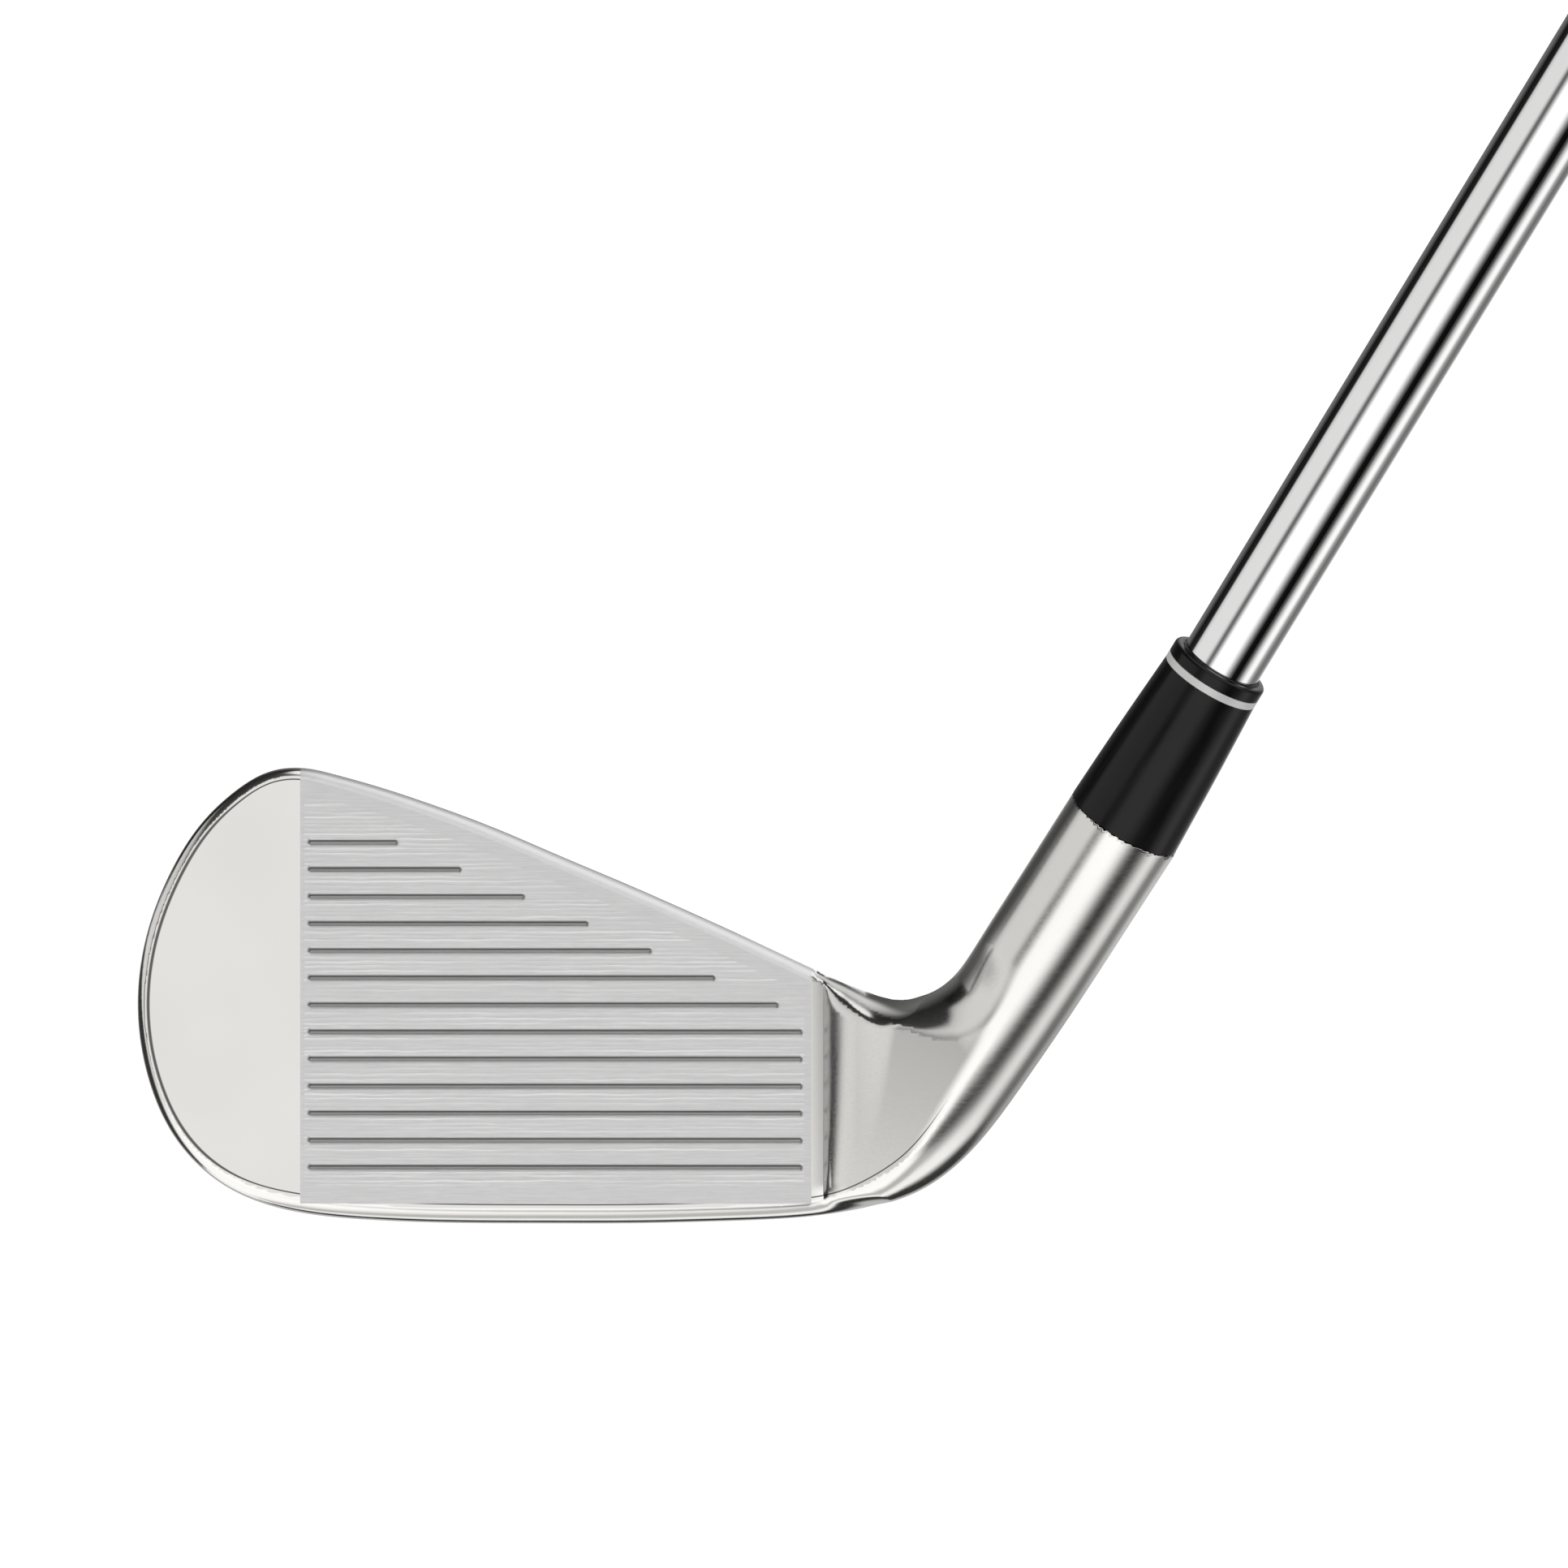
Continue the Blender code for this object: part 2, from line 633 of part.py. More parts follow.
def tip_weight():
    """Brass swing-weight plug, its stem up inside the shaft tip and its flange under it."""
    stem = SHAFT_TIP_RADIUS - TIP_WALL - FIT_GAP
    flange_top = TIP_END - FIT_GAP
    flange_low = BORE_BOTTOM + FIT_GAP
    profile = [
        (0, TIP_WEIGHT_TOP),
        (stem - 1.0, TIP_WEIGHT_TOP),
        (stem, TIP_WEIGHT_TOP - 3.0),
        (stem, flange_top),
        (SHAFT_TIP_RADIUS, flange_top),
        (SHAFT_TIP_RADIUS, flange_low),
        (0, flange_low),
    ]
    return turned("tip_weight", profile, SHAFT_AXIS, BRASS)


def shaft_band():
    """Printed film round the shaft just below the grip."""
    inner = SHAFT_BUTT_RADIUS + FIT_GAP
    outer = inner + BAND_THICKNESS
    profile = [(outer, BAND_TOP), (outer, BAND_BASE), (inner, BAND_BASE), (inner, BAND_TOP)]
    return turned("shaft_band", profile, SHAFT_AXIS, FILM)


def grip():
    """Rubber sleeve over a layer of tape, closed by the end cap with its vent hole."""
    tape_inner = SHAFT_BUTT_RADIUS + FIT_GAP
    tape_outer = tape_inner + TAPE_THICKNESS
    sleeve_inner = tape_outer + FIT_GAP
    tape_top = SHAFT_BUTT - 2
    tape = [
        (tape_outer, tape_top),
        (tape_outer, GRIP_MOUTH + 2),
        (tape_inner, GRIP_MOUTH + 2),
        (tape_inner, tape_top),
    ]
    turned("grip_tape", tape, SHAFT_AXIS, TAPE)
    sleeve = [
        (GRIP_BUTT_RADIUS, CAP_BASE - FIT_GAP),
        (GRIP_BUTT_RADIUS - 0.9, CAP_BASE - 60),
        (GRIP_MOUTH_RADIUS + 1.6, CAP_BASE - 140),
        (GRIP_MOUTH_RADIUS + 0.3, GRIP_MOUTH + 25),
        (GRIP_MOUTH_RADIUS, GRIP_MOUTH + 6),
        (GRIP_MOUTH_RADIUS + 0.3, GRIP_MOUTH + 4),
        (GRIP_MOUTH_RADIUS + 0.3, GRIP_MOUTH + 1),
        (GRIP_MOUTH_RADIUS - 0.3, GRIP_MOUTH),
        (sleeve_inner, GRIP_MOUTH),
        (sleeve_inner, CAP_BASE - FIT_GAP),
    ]
    turned("grip_sleeve", sleeve, SHAFT_AXIS, RUBBER)
    cap = [
        (VENT_RADIUS, CLUB_LENGTH),
        (CAP_RADIUS - 3.0, CLUB_LENGTH),
        (CAP_RADIUS - 1.0, CLUB_LENGTH - 0.8),
        (CAP_RADIUS, CLUB_LENGTH - 2.6),
        (CAP_RADIUS, CLUB_LENGTH - 4.4),
        (GRIP_BUTT_RADIUS, CAP_BASE + 3.0),
        (GRIP_BUTT_RADIUS, CAP_BASE),
        (sleeve_inner, CAP_BASE),
        (sleeve_inner, SHAFT_BUTT + FIT_GAP),
        (VENT_RADIUS, SHAFT_BUTT + FIT_GAP),
    ]
    turned("grip_cap", cap, SHAFT_AXIS, CAP_RUBBER)


head_body()
face_plate()
toe_weight()
cavity_badge()
ferrule()
shaft()
tip_weight()
shaft_band()
grip()
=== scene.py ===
"""Iron golf club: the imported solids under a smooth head, a milled and scored face, polished turned
parts, and procedural finishes, in a plain white studio.

Lengths are millimetres until a mesh is built. The face frame is u along the blade to the heel,
v up the face and w out of it. Heights h run up the shaft axis from the ground.
"""

import json
import math

import bpy
import numpy as np
from mathutils import Matrix, Vector

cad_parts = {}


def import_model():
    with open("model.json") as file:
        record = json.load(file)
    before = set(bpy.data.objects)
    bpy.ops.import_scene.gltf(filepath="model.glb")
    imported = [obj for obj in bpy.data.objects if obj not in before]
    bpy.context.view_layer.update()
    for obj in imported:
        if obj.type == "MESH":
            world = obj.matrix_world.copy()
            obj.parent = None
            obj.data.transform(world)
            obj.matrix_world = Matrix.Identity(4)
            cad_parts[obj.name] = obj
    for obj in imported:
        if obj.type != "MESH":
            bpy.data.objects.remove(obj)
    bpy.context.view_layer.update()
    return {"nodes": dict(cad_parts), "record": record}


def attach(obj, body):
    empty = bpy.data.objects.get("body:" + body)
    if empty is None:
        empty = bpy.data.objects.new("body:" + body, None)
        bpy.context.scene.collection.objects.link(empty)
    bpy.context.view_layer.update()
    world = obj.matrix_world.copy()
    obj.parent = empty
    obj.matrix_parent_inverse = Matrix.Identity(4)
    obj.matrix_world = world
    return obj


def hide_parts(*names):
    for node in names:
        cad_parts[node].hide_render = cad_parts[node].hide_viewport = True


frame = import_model()

MM = 0.001
SEED = 7

# Frames, from the record's mounts
MOUNTS = {mount["name"]: mount for mount in frame["record"]["mounts"]}
GROUND = np.array(MOUNTS["sole_rest"]["pos_m"]) / MM
NORMAL = np.array(MOUNTS["hitting_face"]["axis"])
AXIS = np.array(MOUNTS["butt_end"]["axis"])
ACROSS = np.array((1.0, 0.0, 0.0))
UP = np.cross(NORMAL, ACROSS)
FACE_POINT_V = 28.0
FACE_BASE = np.array(MOUNTS["hitting_face"]["pos_m"]) / MM - FACE_POINT_V * UP
FACE_BASE[0] = GROUND[0]
CLUB_LENGTH = 990.6
HOLD = CLUB_LENGTH - np.linalg.norm(MOUNTS["butt_end"]["pos_m"]) / MM
FACE_AXES = np.array((ACROSS, UP, NORMAL))
SIDE = np.cross(AXIS, NORMAL)
SIDE /= np.linalg.norm(SIDE)
FRONT = np.cross(SIDE, AXIS)


def to_row(points):
    """Face-frame millimetres to row-frame metres."""
    return (np.asarray(points) @ FACE_AXES + FACE_BASE) * MM


def to_face(points):
    """Row-frame millimetres to face-frame millimetres."""
    return (np.asarray(points) - FACE_BASE) @ FACE_AXES.T


AXIS_FOOT = to_face(-HOLD * AXIS)
AXIS_FACE = FACE_AXES @ AXIS
AXIS_RUN = math.hypot(AXIS_FACE[0], AXIS_FACE[1])
SIDE_FACE = FACE_AXES @ SIDE

# Head outline seen square to the face, from the hosel's toe side round the toe to its heel side
OUTLINE = (
    (61.5, 52.3), (57.8, 46.35), (54.8, 41.5), (51.8, 36.7), (49.95, 33.7), (48.1, 30.7),
    (46.3, 28.45), (44.4, 27.05), (42.5, 26.35), (40.6, 26.15), (38.7, 26.35), (36.8, 26.9),
    (34.9, 27.6), (31.1, 29.25), (23.5, 32.8), (15.8, 36.3), (8.2, 39.65), (0.5, 42.9),
    (-7.1, 46.15), (-14.7, 49.0), (-22.4, 51.5), (-26.2, 52.55), (-30.0, 53.3),
    (-33.8, 52.8), (-37.6, 50.6), (-41.5, 46.9), (-45.2, 41.1), (-47.9, 34.2),
    (-49.1, 26.0), (-48.0, 17.3), (-45.4, 10.9), (-41.6, 6.2), (-36.8, 3.0), (-30.1, 0.95),
    (-22.4, 0.12), (-12.9, -0.26), (-1.4, -0.34), (10.0, -0.31), (19.6, -0.07),
    (25.4, 0.15), (31.1, 0.62), (34.9, 1.2), (38.8, 2.1), (42.6, 3.5), (46.4, 6.0),
    (50.2, 9.9), (54.5, 15.8), (59.7, 23.6), (66.9, 35.0), (73.4, 45.4),
)

# Opening of the back cavity, closed
CAVITY = (
    (28.2, 19.5), (25.0, 25.2), (14.0, 30.6), (2.0, 35.9), (-11.0, 41.3), (-24.0, 45.8),
    (-33.5, 45.6), (-39.5, 40.8), (-42.3, 32.5), (-41.3, 23.5), (-36.5, 18.2),
    (-26.0, 16.0), (-12.0, 14.8), (4.0, 13.9), (18.0, 13.2), (25.3, 14.4),
)

# Head fields. A pair is where a change starts and ends: along u, v or w, or with TURN in its name
# in degrees about the saddle, from the blade to the hosel.
GRID_STEP = 0.44
FIELD_STEP = 0.4
TOE_PEAK = -30.0
FAR = 90.0
FIELD_LOW = np.array((-54.0, -14.0))
FIELD_HIGH = np.array((80.0, 62.0))
NECK_START = 31.5
CELLS_TO_NECK = 186.5  # the half cell puts a column of vertices on the neck's start
HEAD_LOW = np.array((NECK_START - CELLS_TO_NECK * GRID_STEP, -1.6, -21.6))
HEAD_HIGH = np.array((74.5, 55.5, 20.6))
PIVOT = np.array((34.0, 44.0))
HOSEL_RADIUS = 6.85
HOSEL_ROUND = 6.7
HOSEL_TOP = 57.3
HOSEL_EXTENSION = 20.0
TOP_ROUND = 1.35
LEADING_ROUND = 2.35
TOE_ROUND = 1.45
BACK_TOP_ROUND = 1.5
TRAILING_ROUND = 2.4
CREASE_DEPTH = 0.05
CREASE_TURN = (14.0, 26.0)
SPLIT_ANGLE = 13.0
CORNER_PULL = 0.28  # share of the way to the face's centre where a split normal is read
CURL_SLOPE = 0.235
CURL_BEND = 0.018
CURL_FOOT = (0.5, 4.5)
NECK_STEEP = 1.3
NECK_SLOPE = 0.45
NECK_REACH = 2.0
NECK_EASE = 3.0
SHOULDER_WIDTH = 3.4
SHOULDER_BEND = 0.16
SHOULDER_EASE = 2.5
SHOULDER_FADE = (37.0, 45.0)
NECK_FALL = math.radians(18.5)
NECK_BLEND = 0.7
NECK_BLEND_GROWTH = 0.8
NECK_BLEND_LEAST = 0.01
FLANK_LEAST = 0.1
RIDGE_TURN = (30.0, 56.0)
NECK_RAISE = 1.25
NECK_RAISE_TOP = 50.0
BEVEL_BASE = -0.7
BEVEL_SLOPE = 2.4
BEVEL_FADE = 0.25
BEVEL_END = 36.6
BEVEL_CLEAR = 5.0
BEVEL_START = 0.8
BEVEL_REACH = (1.6, 3.2)  # the fillet before and after BEVEL_REACH_U
BEVEL_REACH_U = (33.0, 39.0)
STEP_GROWTH = 0.05
STEP_GROWTH_START = 4.0
BACK_W = -5.8
BACK_PROFILE = (
    (-20.0, -19.9), (7.6, -19.9), (17.0, -9.9), (19.0, -7.6), (21.4, BACK_W), (80.0, BACK_W),
)
BACK_HEEL_NARROW = 0.5
BACK_HEEL_U = (22.0, 44.0)
BACK_TOE_NARROW = 0.3
BACK_TOE_U = (28.0, 50.0)
BACK_TURN = (2.0, 50.0)
SOLE_START_W = -2.85
SOLE_FRONT_RADIUS = 9.7
SOLE_FRONT_ANGLE = math.radians(20.0)
SOLE_FLAT = 4.93
SOLE_REAR_RADIUS = 40.0
SOLE_REAR_ANGLE = math.radians(33.0)
CAVITY_FLOOR_W = -2.95
CAVITY_ROUND = 0.5
BORE_RADIUS = 5.0
BORE_BOTTOM = 26.0
WEIGHT_CENTRE = np.array((-32.0, 9.9))
WEIGHT_RADIUS = 4.55
WEIGHT_LOW_W = -9.2
WEIGHT_HIGH_W = -3.25
HOSEL_RIM = 0.12
SOLE_SHEAR_V = (8.0, 30.0)
SOLE_SHEAR_TURN = (5.0, 45.0)
LOW_SIDE = (23.0, 31.0)  # away from the pivot
HEEL_ROUND_U = (30.0, 49.0)
TOE_ROUND_U = (28.0, 46.0)
TOP_ROUND_TURN = (0.0, 42.0)
TRAILING_ROUND_TURN = (0.0, 50.0)
BACK_TOP_ROUND_TURN = (4.0, 56.0)

# Where the painted shade line at the rounding's inner edge shows
PAINTED_SHADE_TURN = (14.0, 24.0)
PAINTED_SHADE_W = (-3.2, -2.8)
PAINTED_SHADE_HEEL_U = (28.0, 30.0)
PAINTED_SHADE_HEEL_V = (18.0, 20.0)

# Blasted and milled band of the face
BAND_TOE = -29.9
BAND_HEEL = 30.1
BAND_LOW = 2.15
BAND_POCKET_DEPTH = 0.6
BAND_LAP = 0.5
BAND_LIFT = 0.03
MILL_CLEAR = 1.35
MILL_LOW = 3.7
MILL_TOE = -29.55
MILL_HEEL = 29.4
MILL_PITCH = 0.53
MILL_HEIGHT = 0.045
MILL_WIDTH = 0.15
MILL_SWAY = ((0.035, 2.3), (0.03, 0.9))  # size and length of each wave
MILL_EASE = 0.15
GROOVES = 13
GROOVE_PITCH = 3.18
GROOVE_LOW_V = 6.4
GROOVE_TOE = -28.65
GROOVE_HEEL = 28.75
GROOVE_HALF = 0.36
GROOVE_DEPTH = 0.42
GROOVE_WALL = 0.55
GROOVE_MARGIN = (0.5, 0.62)
FULL_GROOVES = 6
GROOVE_STEP_FIRST = 2.8
GROOVE_STEP = 7.45
ROW_STEP = 0.13
COLUMN_STEP = 0.6
FINE_COLUMN = 0.09
FINE_REACH = 0.55
COLUMN_LEAST = 0.04
TOPLINE_V = (20.0, 56.0)
HALVINGS = 40


def smoothstep(low, high, x):
    t = np.clip((x - low) / (high - low), 0, 1)
    return t * t * (3 - 2 * t)


def mix(a, b, t):
    return a + (b - a) * t


def round_max(a, b, radius):
    """Intersection of two distances with their shared convex edge rounded."""
    a = a + radius
    b = b + radius
    return np.minimum(np.maximum(a, b), 0) + np.hypot(np.maximum(a, 0), np.maximum(b, 0)) - radius


def spline(knots, closed, per_span):
    """Points on a twice-smooth cubic through the knots; open ends run straight out."""
    knots = np.array(knots, float)
    ring = np.vstack((knots, knots[:1])) if closed else knots
    gaps = np.linalg.norm(np.diff(ring, axis=0), axis=1)
    count = len(knots)
    matrix = np.zeros((count, count))
    right = np.zeros((count, 2))
    slope = np.diff(ring, axis=0) / gaps[:, None]
    for i in range(count):
        if not closed and i in (0, count - 1):
            matrix[i, i] = 1
            continue
        before = gaps[i - 1]
        after = gaps[i]
        matrix[i, (i - 1) % count] += before
        matrix[i, i] += 2 * (before + after)
        matrix[i, (i + 1) % count] += after
        right[i] = 6 * (slope[i] - slope[i - 1])
    bend = np.linalg.solve(matrix, right)
    spans = count if closed else count - 1
    points = []
    for i in range(spans):
        j = (i + 1) % count
        t = np.linspace(0, 1, per_span, endpoint=False)[:, None]
        gap = gaps[i]
        cubic = ((1 - t) ** 3 - (1 - t)) * bend[i] + (t**3 - t) * bend[j]
        points.append(knots[i] * (1 - t) + knots[j] * t + cubic * gap * gap / 6)
    if not closed:
        points.append(knots[-1:])
    return np.vstack(points)


def polygon_distance(points, polygon):
    """Signed distance, negative inside, from points to a closed polygon."""
    nearest = np.full(len(points), np.inf)
    inside = np.zeros(len(points), bool)
    for start, end in zip(polygon, np.roll(polygon, -1, axis=0)):
        edge = end - start
        offset = points - start
        t = np.clip(offset @ edge / (edge @ edge), 0, 1)
        gap = offset - t[:, None] * edge
        nearest = np.minimum(nearest, np.einsum("ij,ij->i", gap, gap))
        crosses = (start[1] > points[:, 1]) != (end[1] > points[:, 1])
        if start[1] != end[1]:
            at = start[0] + (points[:, 1] - start[1]) * edge[0] / edge[1]
            inside ^= crosses & (points[:, 0] < at)
    return np.where(inside, -1, 1) * np.sqrt(nearest)


class Field:
    """A signed distance in the face plane, stored on a grid and read with cubic interpolation."""

    def __init__(self, polygon):
        self.shape = np.ceil((FIELD_HIGH - FIELD_LOW) / FIELD_STEP).astype(int) + 1
        u = FIELD_LOW[0] + FIELD_STEP * np.arange(self.shape[0])
        v = FIELD_LOW[1] + FIELD_STEP * np.arange(self.shape[1])
        points = np.stack(np.meshgrid(u, v, indexing="ij"), -1).reshape(-1, 2)
        self.values = polygon_distance(points, polygon).reshape(self.shape)

    def __call__(self, u, v):
        x = (np.asarray(u) - FIELD_LOW[0]) / FIELD_STEP
        y = (np.asarray(v) - FIELD_LOW[1]) / FIELD_STEP
        i = np.clip(np.floor(x).astype(int), 1, self.shape[0] - 3)
        j = np.clip(np.floor(y).astype(int), 1, self.shape[1] - 3)
        weights_x = self.weights(np.clip(x - i, 0, 1))
        weights_y = self.weights(np.clip(y - j, 0, 1))
        total = 0
        for a in range(4):
            row = 0
            for b in range(4):
                row = row + weights_y[b] * self.values[i + a - 1, j + b - 1]
            total = total + weights_x[a] * row
        return total

    @staticmethod
    def weights(t):
        return (
            ((2 - t) * t - 1) * t / 2,
            ((3 * t - 5) * t * t + 2) / 2,
            ((4 - 3 * t) * t + 1) * t / 2,
            (t - 1) * t * t / 2,
        )


def head_polygon():
    """The outline with both sides of the hosel carried past its end."""
    points = spline(OUTLINE, False, 8)
    along = AXIS_FACE[:2] / AXIS_RUN * HOSEL_EXTENSION
    return np.vstack((points[:1] + along, points, points[-1:] + along))


def topline_polygon():
    """The plane below the topline and the hosel's toe side."""
    points = head_polygon()
    points = points[: np.argmax(points[:, 0] < TOE_PEAK)]
    low_corners = ((-FAR, points[-1, 1]), (-FAR, -FAR), (FAR, -FAR), (FAR, points[0, 1]))
    return np.vstack((points, low_corners))


OUTLINE_FIELD = Field(head_polygon())
TOPLINE_FIELD = Field(topline_polygon())
CAVITY_FIELD = Field(spline(CAVITY, True, 8))


def turn_about_saddle(u, v):
    """Degrees turned from the blade, 0, towards the hosel."""
    return np.degrees(np.arctan2(np.maximum(u - PIVOT[0], 0), np.maximum(PIVOT[1] - v, 0.001)))


def from_pivot(u, v):
    """Distance from the pivot, which tells the saddle side from the heel side."""
    return np.hypot(np.maximum(u - PIVOT[0], 0), PIVOT[1] - v)


def in_plane(u, v, direction):
    """How far (u, v) is from the axis's foot along a direction, seen square to the face."""
    return (u - AXIS_FOOT[0]) * direction[0] + (v - AXIS_FOOT[1]) * direction[1]


def hosel_height(u, v):
    """w of the line along the hosel's back."""
    height = in_plane(u, v, AXIS_FACE) / AXIS_RUN**2
    return AXIS_FOOT[2] + AXIS_FACE[2] * height - HOSEL_RADIUS / AXIS_RUN


def smooth_min(a, b, reach):
    """The lower of two heights, with a fillet where they meet."""
    t = np.clip(0.5 + 0.5 * (b - a) / reach, 0, 1)
    return mix(b, a, t) - reach * t * (1 - t)


def heel_round(u):
    """Radius of the edge from the leading edge, up the heel, to the hosel."""
    return mix(LEADING_ROUND, HOSEL_ROUND, smoothstep(*HEEL_ROUND_U, u))


def neck_flank(u, v):
    """The hosel's front ridge and the straight flank that leaves it towards the toe."""
    across = in_plane(u, v, SIDE_FACE)
    along = in_plane(u, v, AXIS_FACE) / AXIS_RUN
    limit = HOSEL_RADIUS * math.sin(NECK_FALL)
    ridge = np.sqrt(HOSEL_RADIUS**2 - np.clip(-across, 0, limit) ** 2)
    ridge = ridge - math.tan(NECK_FALL) * np.maximum(-across - limit, 0)
    ridge = mix(ridge, HOSEL_RADIUS, smoothstep(*RIDGE_TURN, turn_about_saddle(u, v)))
    height = (along + AXIS_FACE[2] * ridge) / AXIS_RUN
    raised = NECK_RAISE * (1 - smoothstep(0, NECK_RAISE_TOP, v))
    return AXIS_FOOT[2] + AXIS_FACE[2] * height + AXIS_RUN * ridge + raised


def front_surface(u, v):
    """The face plane, its curled heel end, a steep step, and the neck's flank under its bevel."""
    curl = np.clip(u - BAND_HEEL, 0, NECK_START - BAND_HEEL)
    beyond = np.maximum(u - NECK_START, 0)
    clear = smoothstep(*CURL_FOOT, v)
    step = (NECK_STEEP - NECK_SLOPE) * NECK_REACH * (1 - np.exp(-beyond / NECK_REACH)) * clear
    step = step + (CURL_SLOPE * curl + CURL_BEND * curl**2) * clear
    step = step + NECK_SLOPE * beyond * mix(beyond / (beyond + NECK_EASE), 1, clear)
    step = step + STEP_GROWTH * np.maximum(beyond - STEP_GROWTH_START, 0) ** 2
    flank = np.maximum(neck_flank(u, v), FLANK_LEAST)
    reach = np.clip(NECK_BLEND_GROWTH * beyond, NECK_BLEND_LEAST, NECK_BLEND)
    front = np.where(beyond > 0, smooth_min(step, flank, reach), step)
    below_topline = TOPLINE_FIELD(u, v)
    under = np.maximum(SHOULDER_WIDTH + below_topline, 0)
    under = under**2 * smoothstep(0, SHOULDER_EASE, beyond) * (1 - smoothstep(*SHOULDER_FADE, u))
    front = front - SHOULDER_BEND * under
    bevel = BEVEL_BASE - BEVEL_SLOPE * below_topline
    bevel = bevel + BEVEL_FADE * np.maximum(u - BEVEL_END, 0) ** 2
    bevel = bevel + BEVEL_CLEAR * (1 - smoothstep(BAND_HEEL, BAND_HEEL + BEVEL_START, u))
    reach = mix(*BEVEL_REACH, smoothstep(*BEVEL_REACH_U, u))
    return smooth_min(front, bevel, reach)


def back_surface(u, v):
    """The blade's back, thinner towards both ends, turning into the back of the hosel."""
    profile = np.array(BACK_PROFILE)
    blade = np.interp(v, profile[:, 0], profile[:, 1])
    narrow = 1 - BACK_HEEL_NARROW * smoothstep(*BACK_HEEL_U, u)
    narrow = narrow - BACK_TOE_NARROW * smoothstep(*BACK_TOE_U, -u)
    blade = BACK_W + (blade - BACK_W) * narrow
    return mix(blade, hosel_height(u, v), smoothstep(*BACK_TURN, turn_about_saddle(u, v)))


def steepness(surface, u, v):
    """One over the length of a surface's normal, which turns a height into a distance."""
    e = 0.1
    du = (surface(u + e, v) - surface(u - e, v)) / (2 * e)
    dv = (surface(u, v + e) - surface(u, v - e)) / (2 * e)
    return 1 / np.sqrt(1 + du * du + dv * dv)


def sole_rise(w):
    """How far the sole has risen up the face, this far behind its leading edge."""
    depth = np.maximum(SOLE_START_W - w, 0)
    sine, cosine = math.sin(SOLE_FRONT_ANGLE), math.cos(SOLE_FRONT_ANGLE)
    front_end = SOLE_FRONT_RADIUS * sine
    first = np.minimum(depth, front_end)
    rise = SOLE_FRONT_RADIUS - np.sqrt(SOLE_FRONT_RADIUS**2 - first**2)
    flat_end = front_end + SOLE_FLAT * cosine
    second = np.clip(depth - front_end, 0, SOLE_FLAT * cosine)
    rise = rise + second * sine / cosine
    rear_length = SOLE_REAR_RADIUS * (math.sin(SOLE_REAR_ANGLE) - sine)
    third = np.clip(depth - flat_end, 0, rear_length)
    rise = rise + SOLE_REAR_RADIUS * cosine
    rise = rise - np.sqrt(SOLE_REAR_RADIUS**2 - (SOLE_REAR_RADIUS * sine + third) ** 2)
    last = np.maximum(depth - flat_end - rear_length, 0)
    return rise + last * math.tan(SOLE_REAR_ANGLE)


def rounds(u, v):
    """Edge radii of the front and of the back."""
    turn = turn_about_saddle(u, v)
    low_side = smoothstep(*LOW_SIDE, from_pivot(u, v))
    low = heel_round(u) - (LEADING_ROUND - TOE_ROUND) * smoothstep(*TOE_ROUND_U, -u)
    high = mix(TOP_ROUND, HOSEL_ROUND, smoothstep(*TOP_ROUND_TURN, turn))
    front = mix(high, low, low_side)
    low = mix(TRAILING_ROUND, HOSEL_ROUND, smoothstep(*TRAILING_ROUND_TURN, turn))
    high = mix(BACK_TOP_ROUND, HOSEL_ROUND, smoothstep(*BACK_TOP_ROUND_TURN, turn))
    return front, mix(high, low, low_side)


def head_distance(u, v, w):
    """Signed distance to the head, close to exact near its surface."""
    turn = turn_about_saddle(u, v)
    shear = (1 - smoothstep(*SOLE_SHEAR_V, v)) * (1 - smoothstep(*SOLE_SHEAR_TURN, turn))
    wall = OUTLINE_FIELD(u + 0 * w, v - sole_rise(w) * shear)
    front = (w - front_surface(u, v)) * steepness(front_surface, u, v)
    back = (back_surface(u, v) - w) * steepness(back_surface, u, v)
    front_round, back_round = rounds(u, v)
    crease = CREASE_DEPTH * (1 - smoothstep(*CREASE_TURN, turn))
    solid = np.maximum(round_max(wall, front - crease, front_round), front)
    solid = np.maximum(solid, round_max(wall, back, back_round))
    pocket = round_max(CAVITY_FIELD(u, v), w - CAVITY_FLOOR_W, CAVITY_ROUND)
    solid = round_max(solid, -pocket, CAVITY_ROUND)
    outline = OUTLINE_FIELD(u, v)
    middle = (BAND_TOE + BAND_HEEL) / 2
    half = (BAND_HEEL - BAND_TOE) / 2 - BAND_LAP
    band = np.maximum(np.abs(u - middle) - half, outline + TOP_ROUND + BAND_LAP)
    band = np.maximum(np.maximum(band, BAND_LOW + BAND_LAP - v), -BAND_POCKET_DEPTH - w)
    solid = np.maximum(solid, -band)
    weight = np.hypot(u - WEIGHT_CENTRE[0], v - WEIGHT_CENTRE[1]) - WEIGHT_RADIUS
    weight = np.maximum(np.maximum(weight, w - WEIGHT_HIGH_W), WEIGHT_LOW_W - w)
    solid = np.maximum(solid, -weight)
    offset = (u - AXIS_FOOT[0], v - AXIS_FOOT[1], w - AXIS_FOOT[2])
    height = sum(part * unit for part, unit in zip(offset, AXIS_FACE))
    radius = np.sqrt(np.maximum(sum(part * part for part in offset) - height * height, 0))
    solid = round_max(solid, height - HOSEL_TOP, HOSEL_RIM)
    return np.maximum(solid, -np.maximum(radius - BORE_RADIUS, BORE_BOTTOM - height))


def gradient(points):
    """Slope of the head's distance at each point."""
    e = 0.02
    found = np.empty_like(points)
    for k in range(3):
        step = np.zeros(3)
        step[k] = e
        found[:, k] = head_distance(*(points + step).T) - head_distance(*(points - step).T)
    return found / (2 * e)


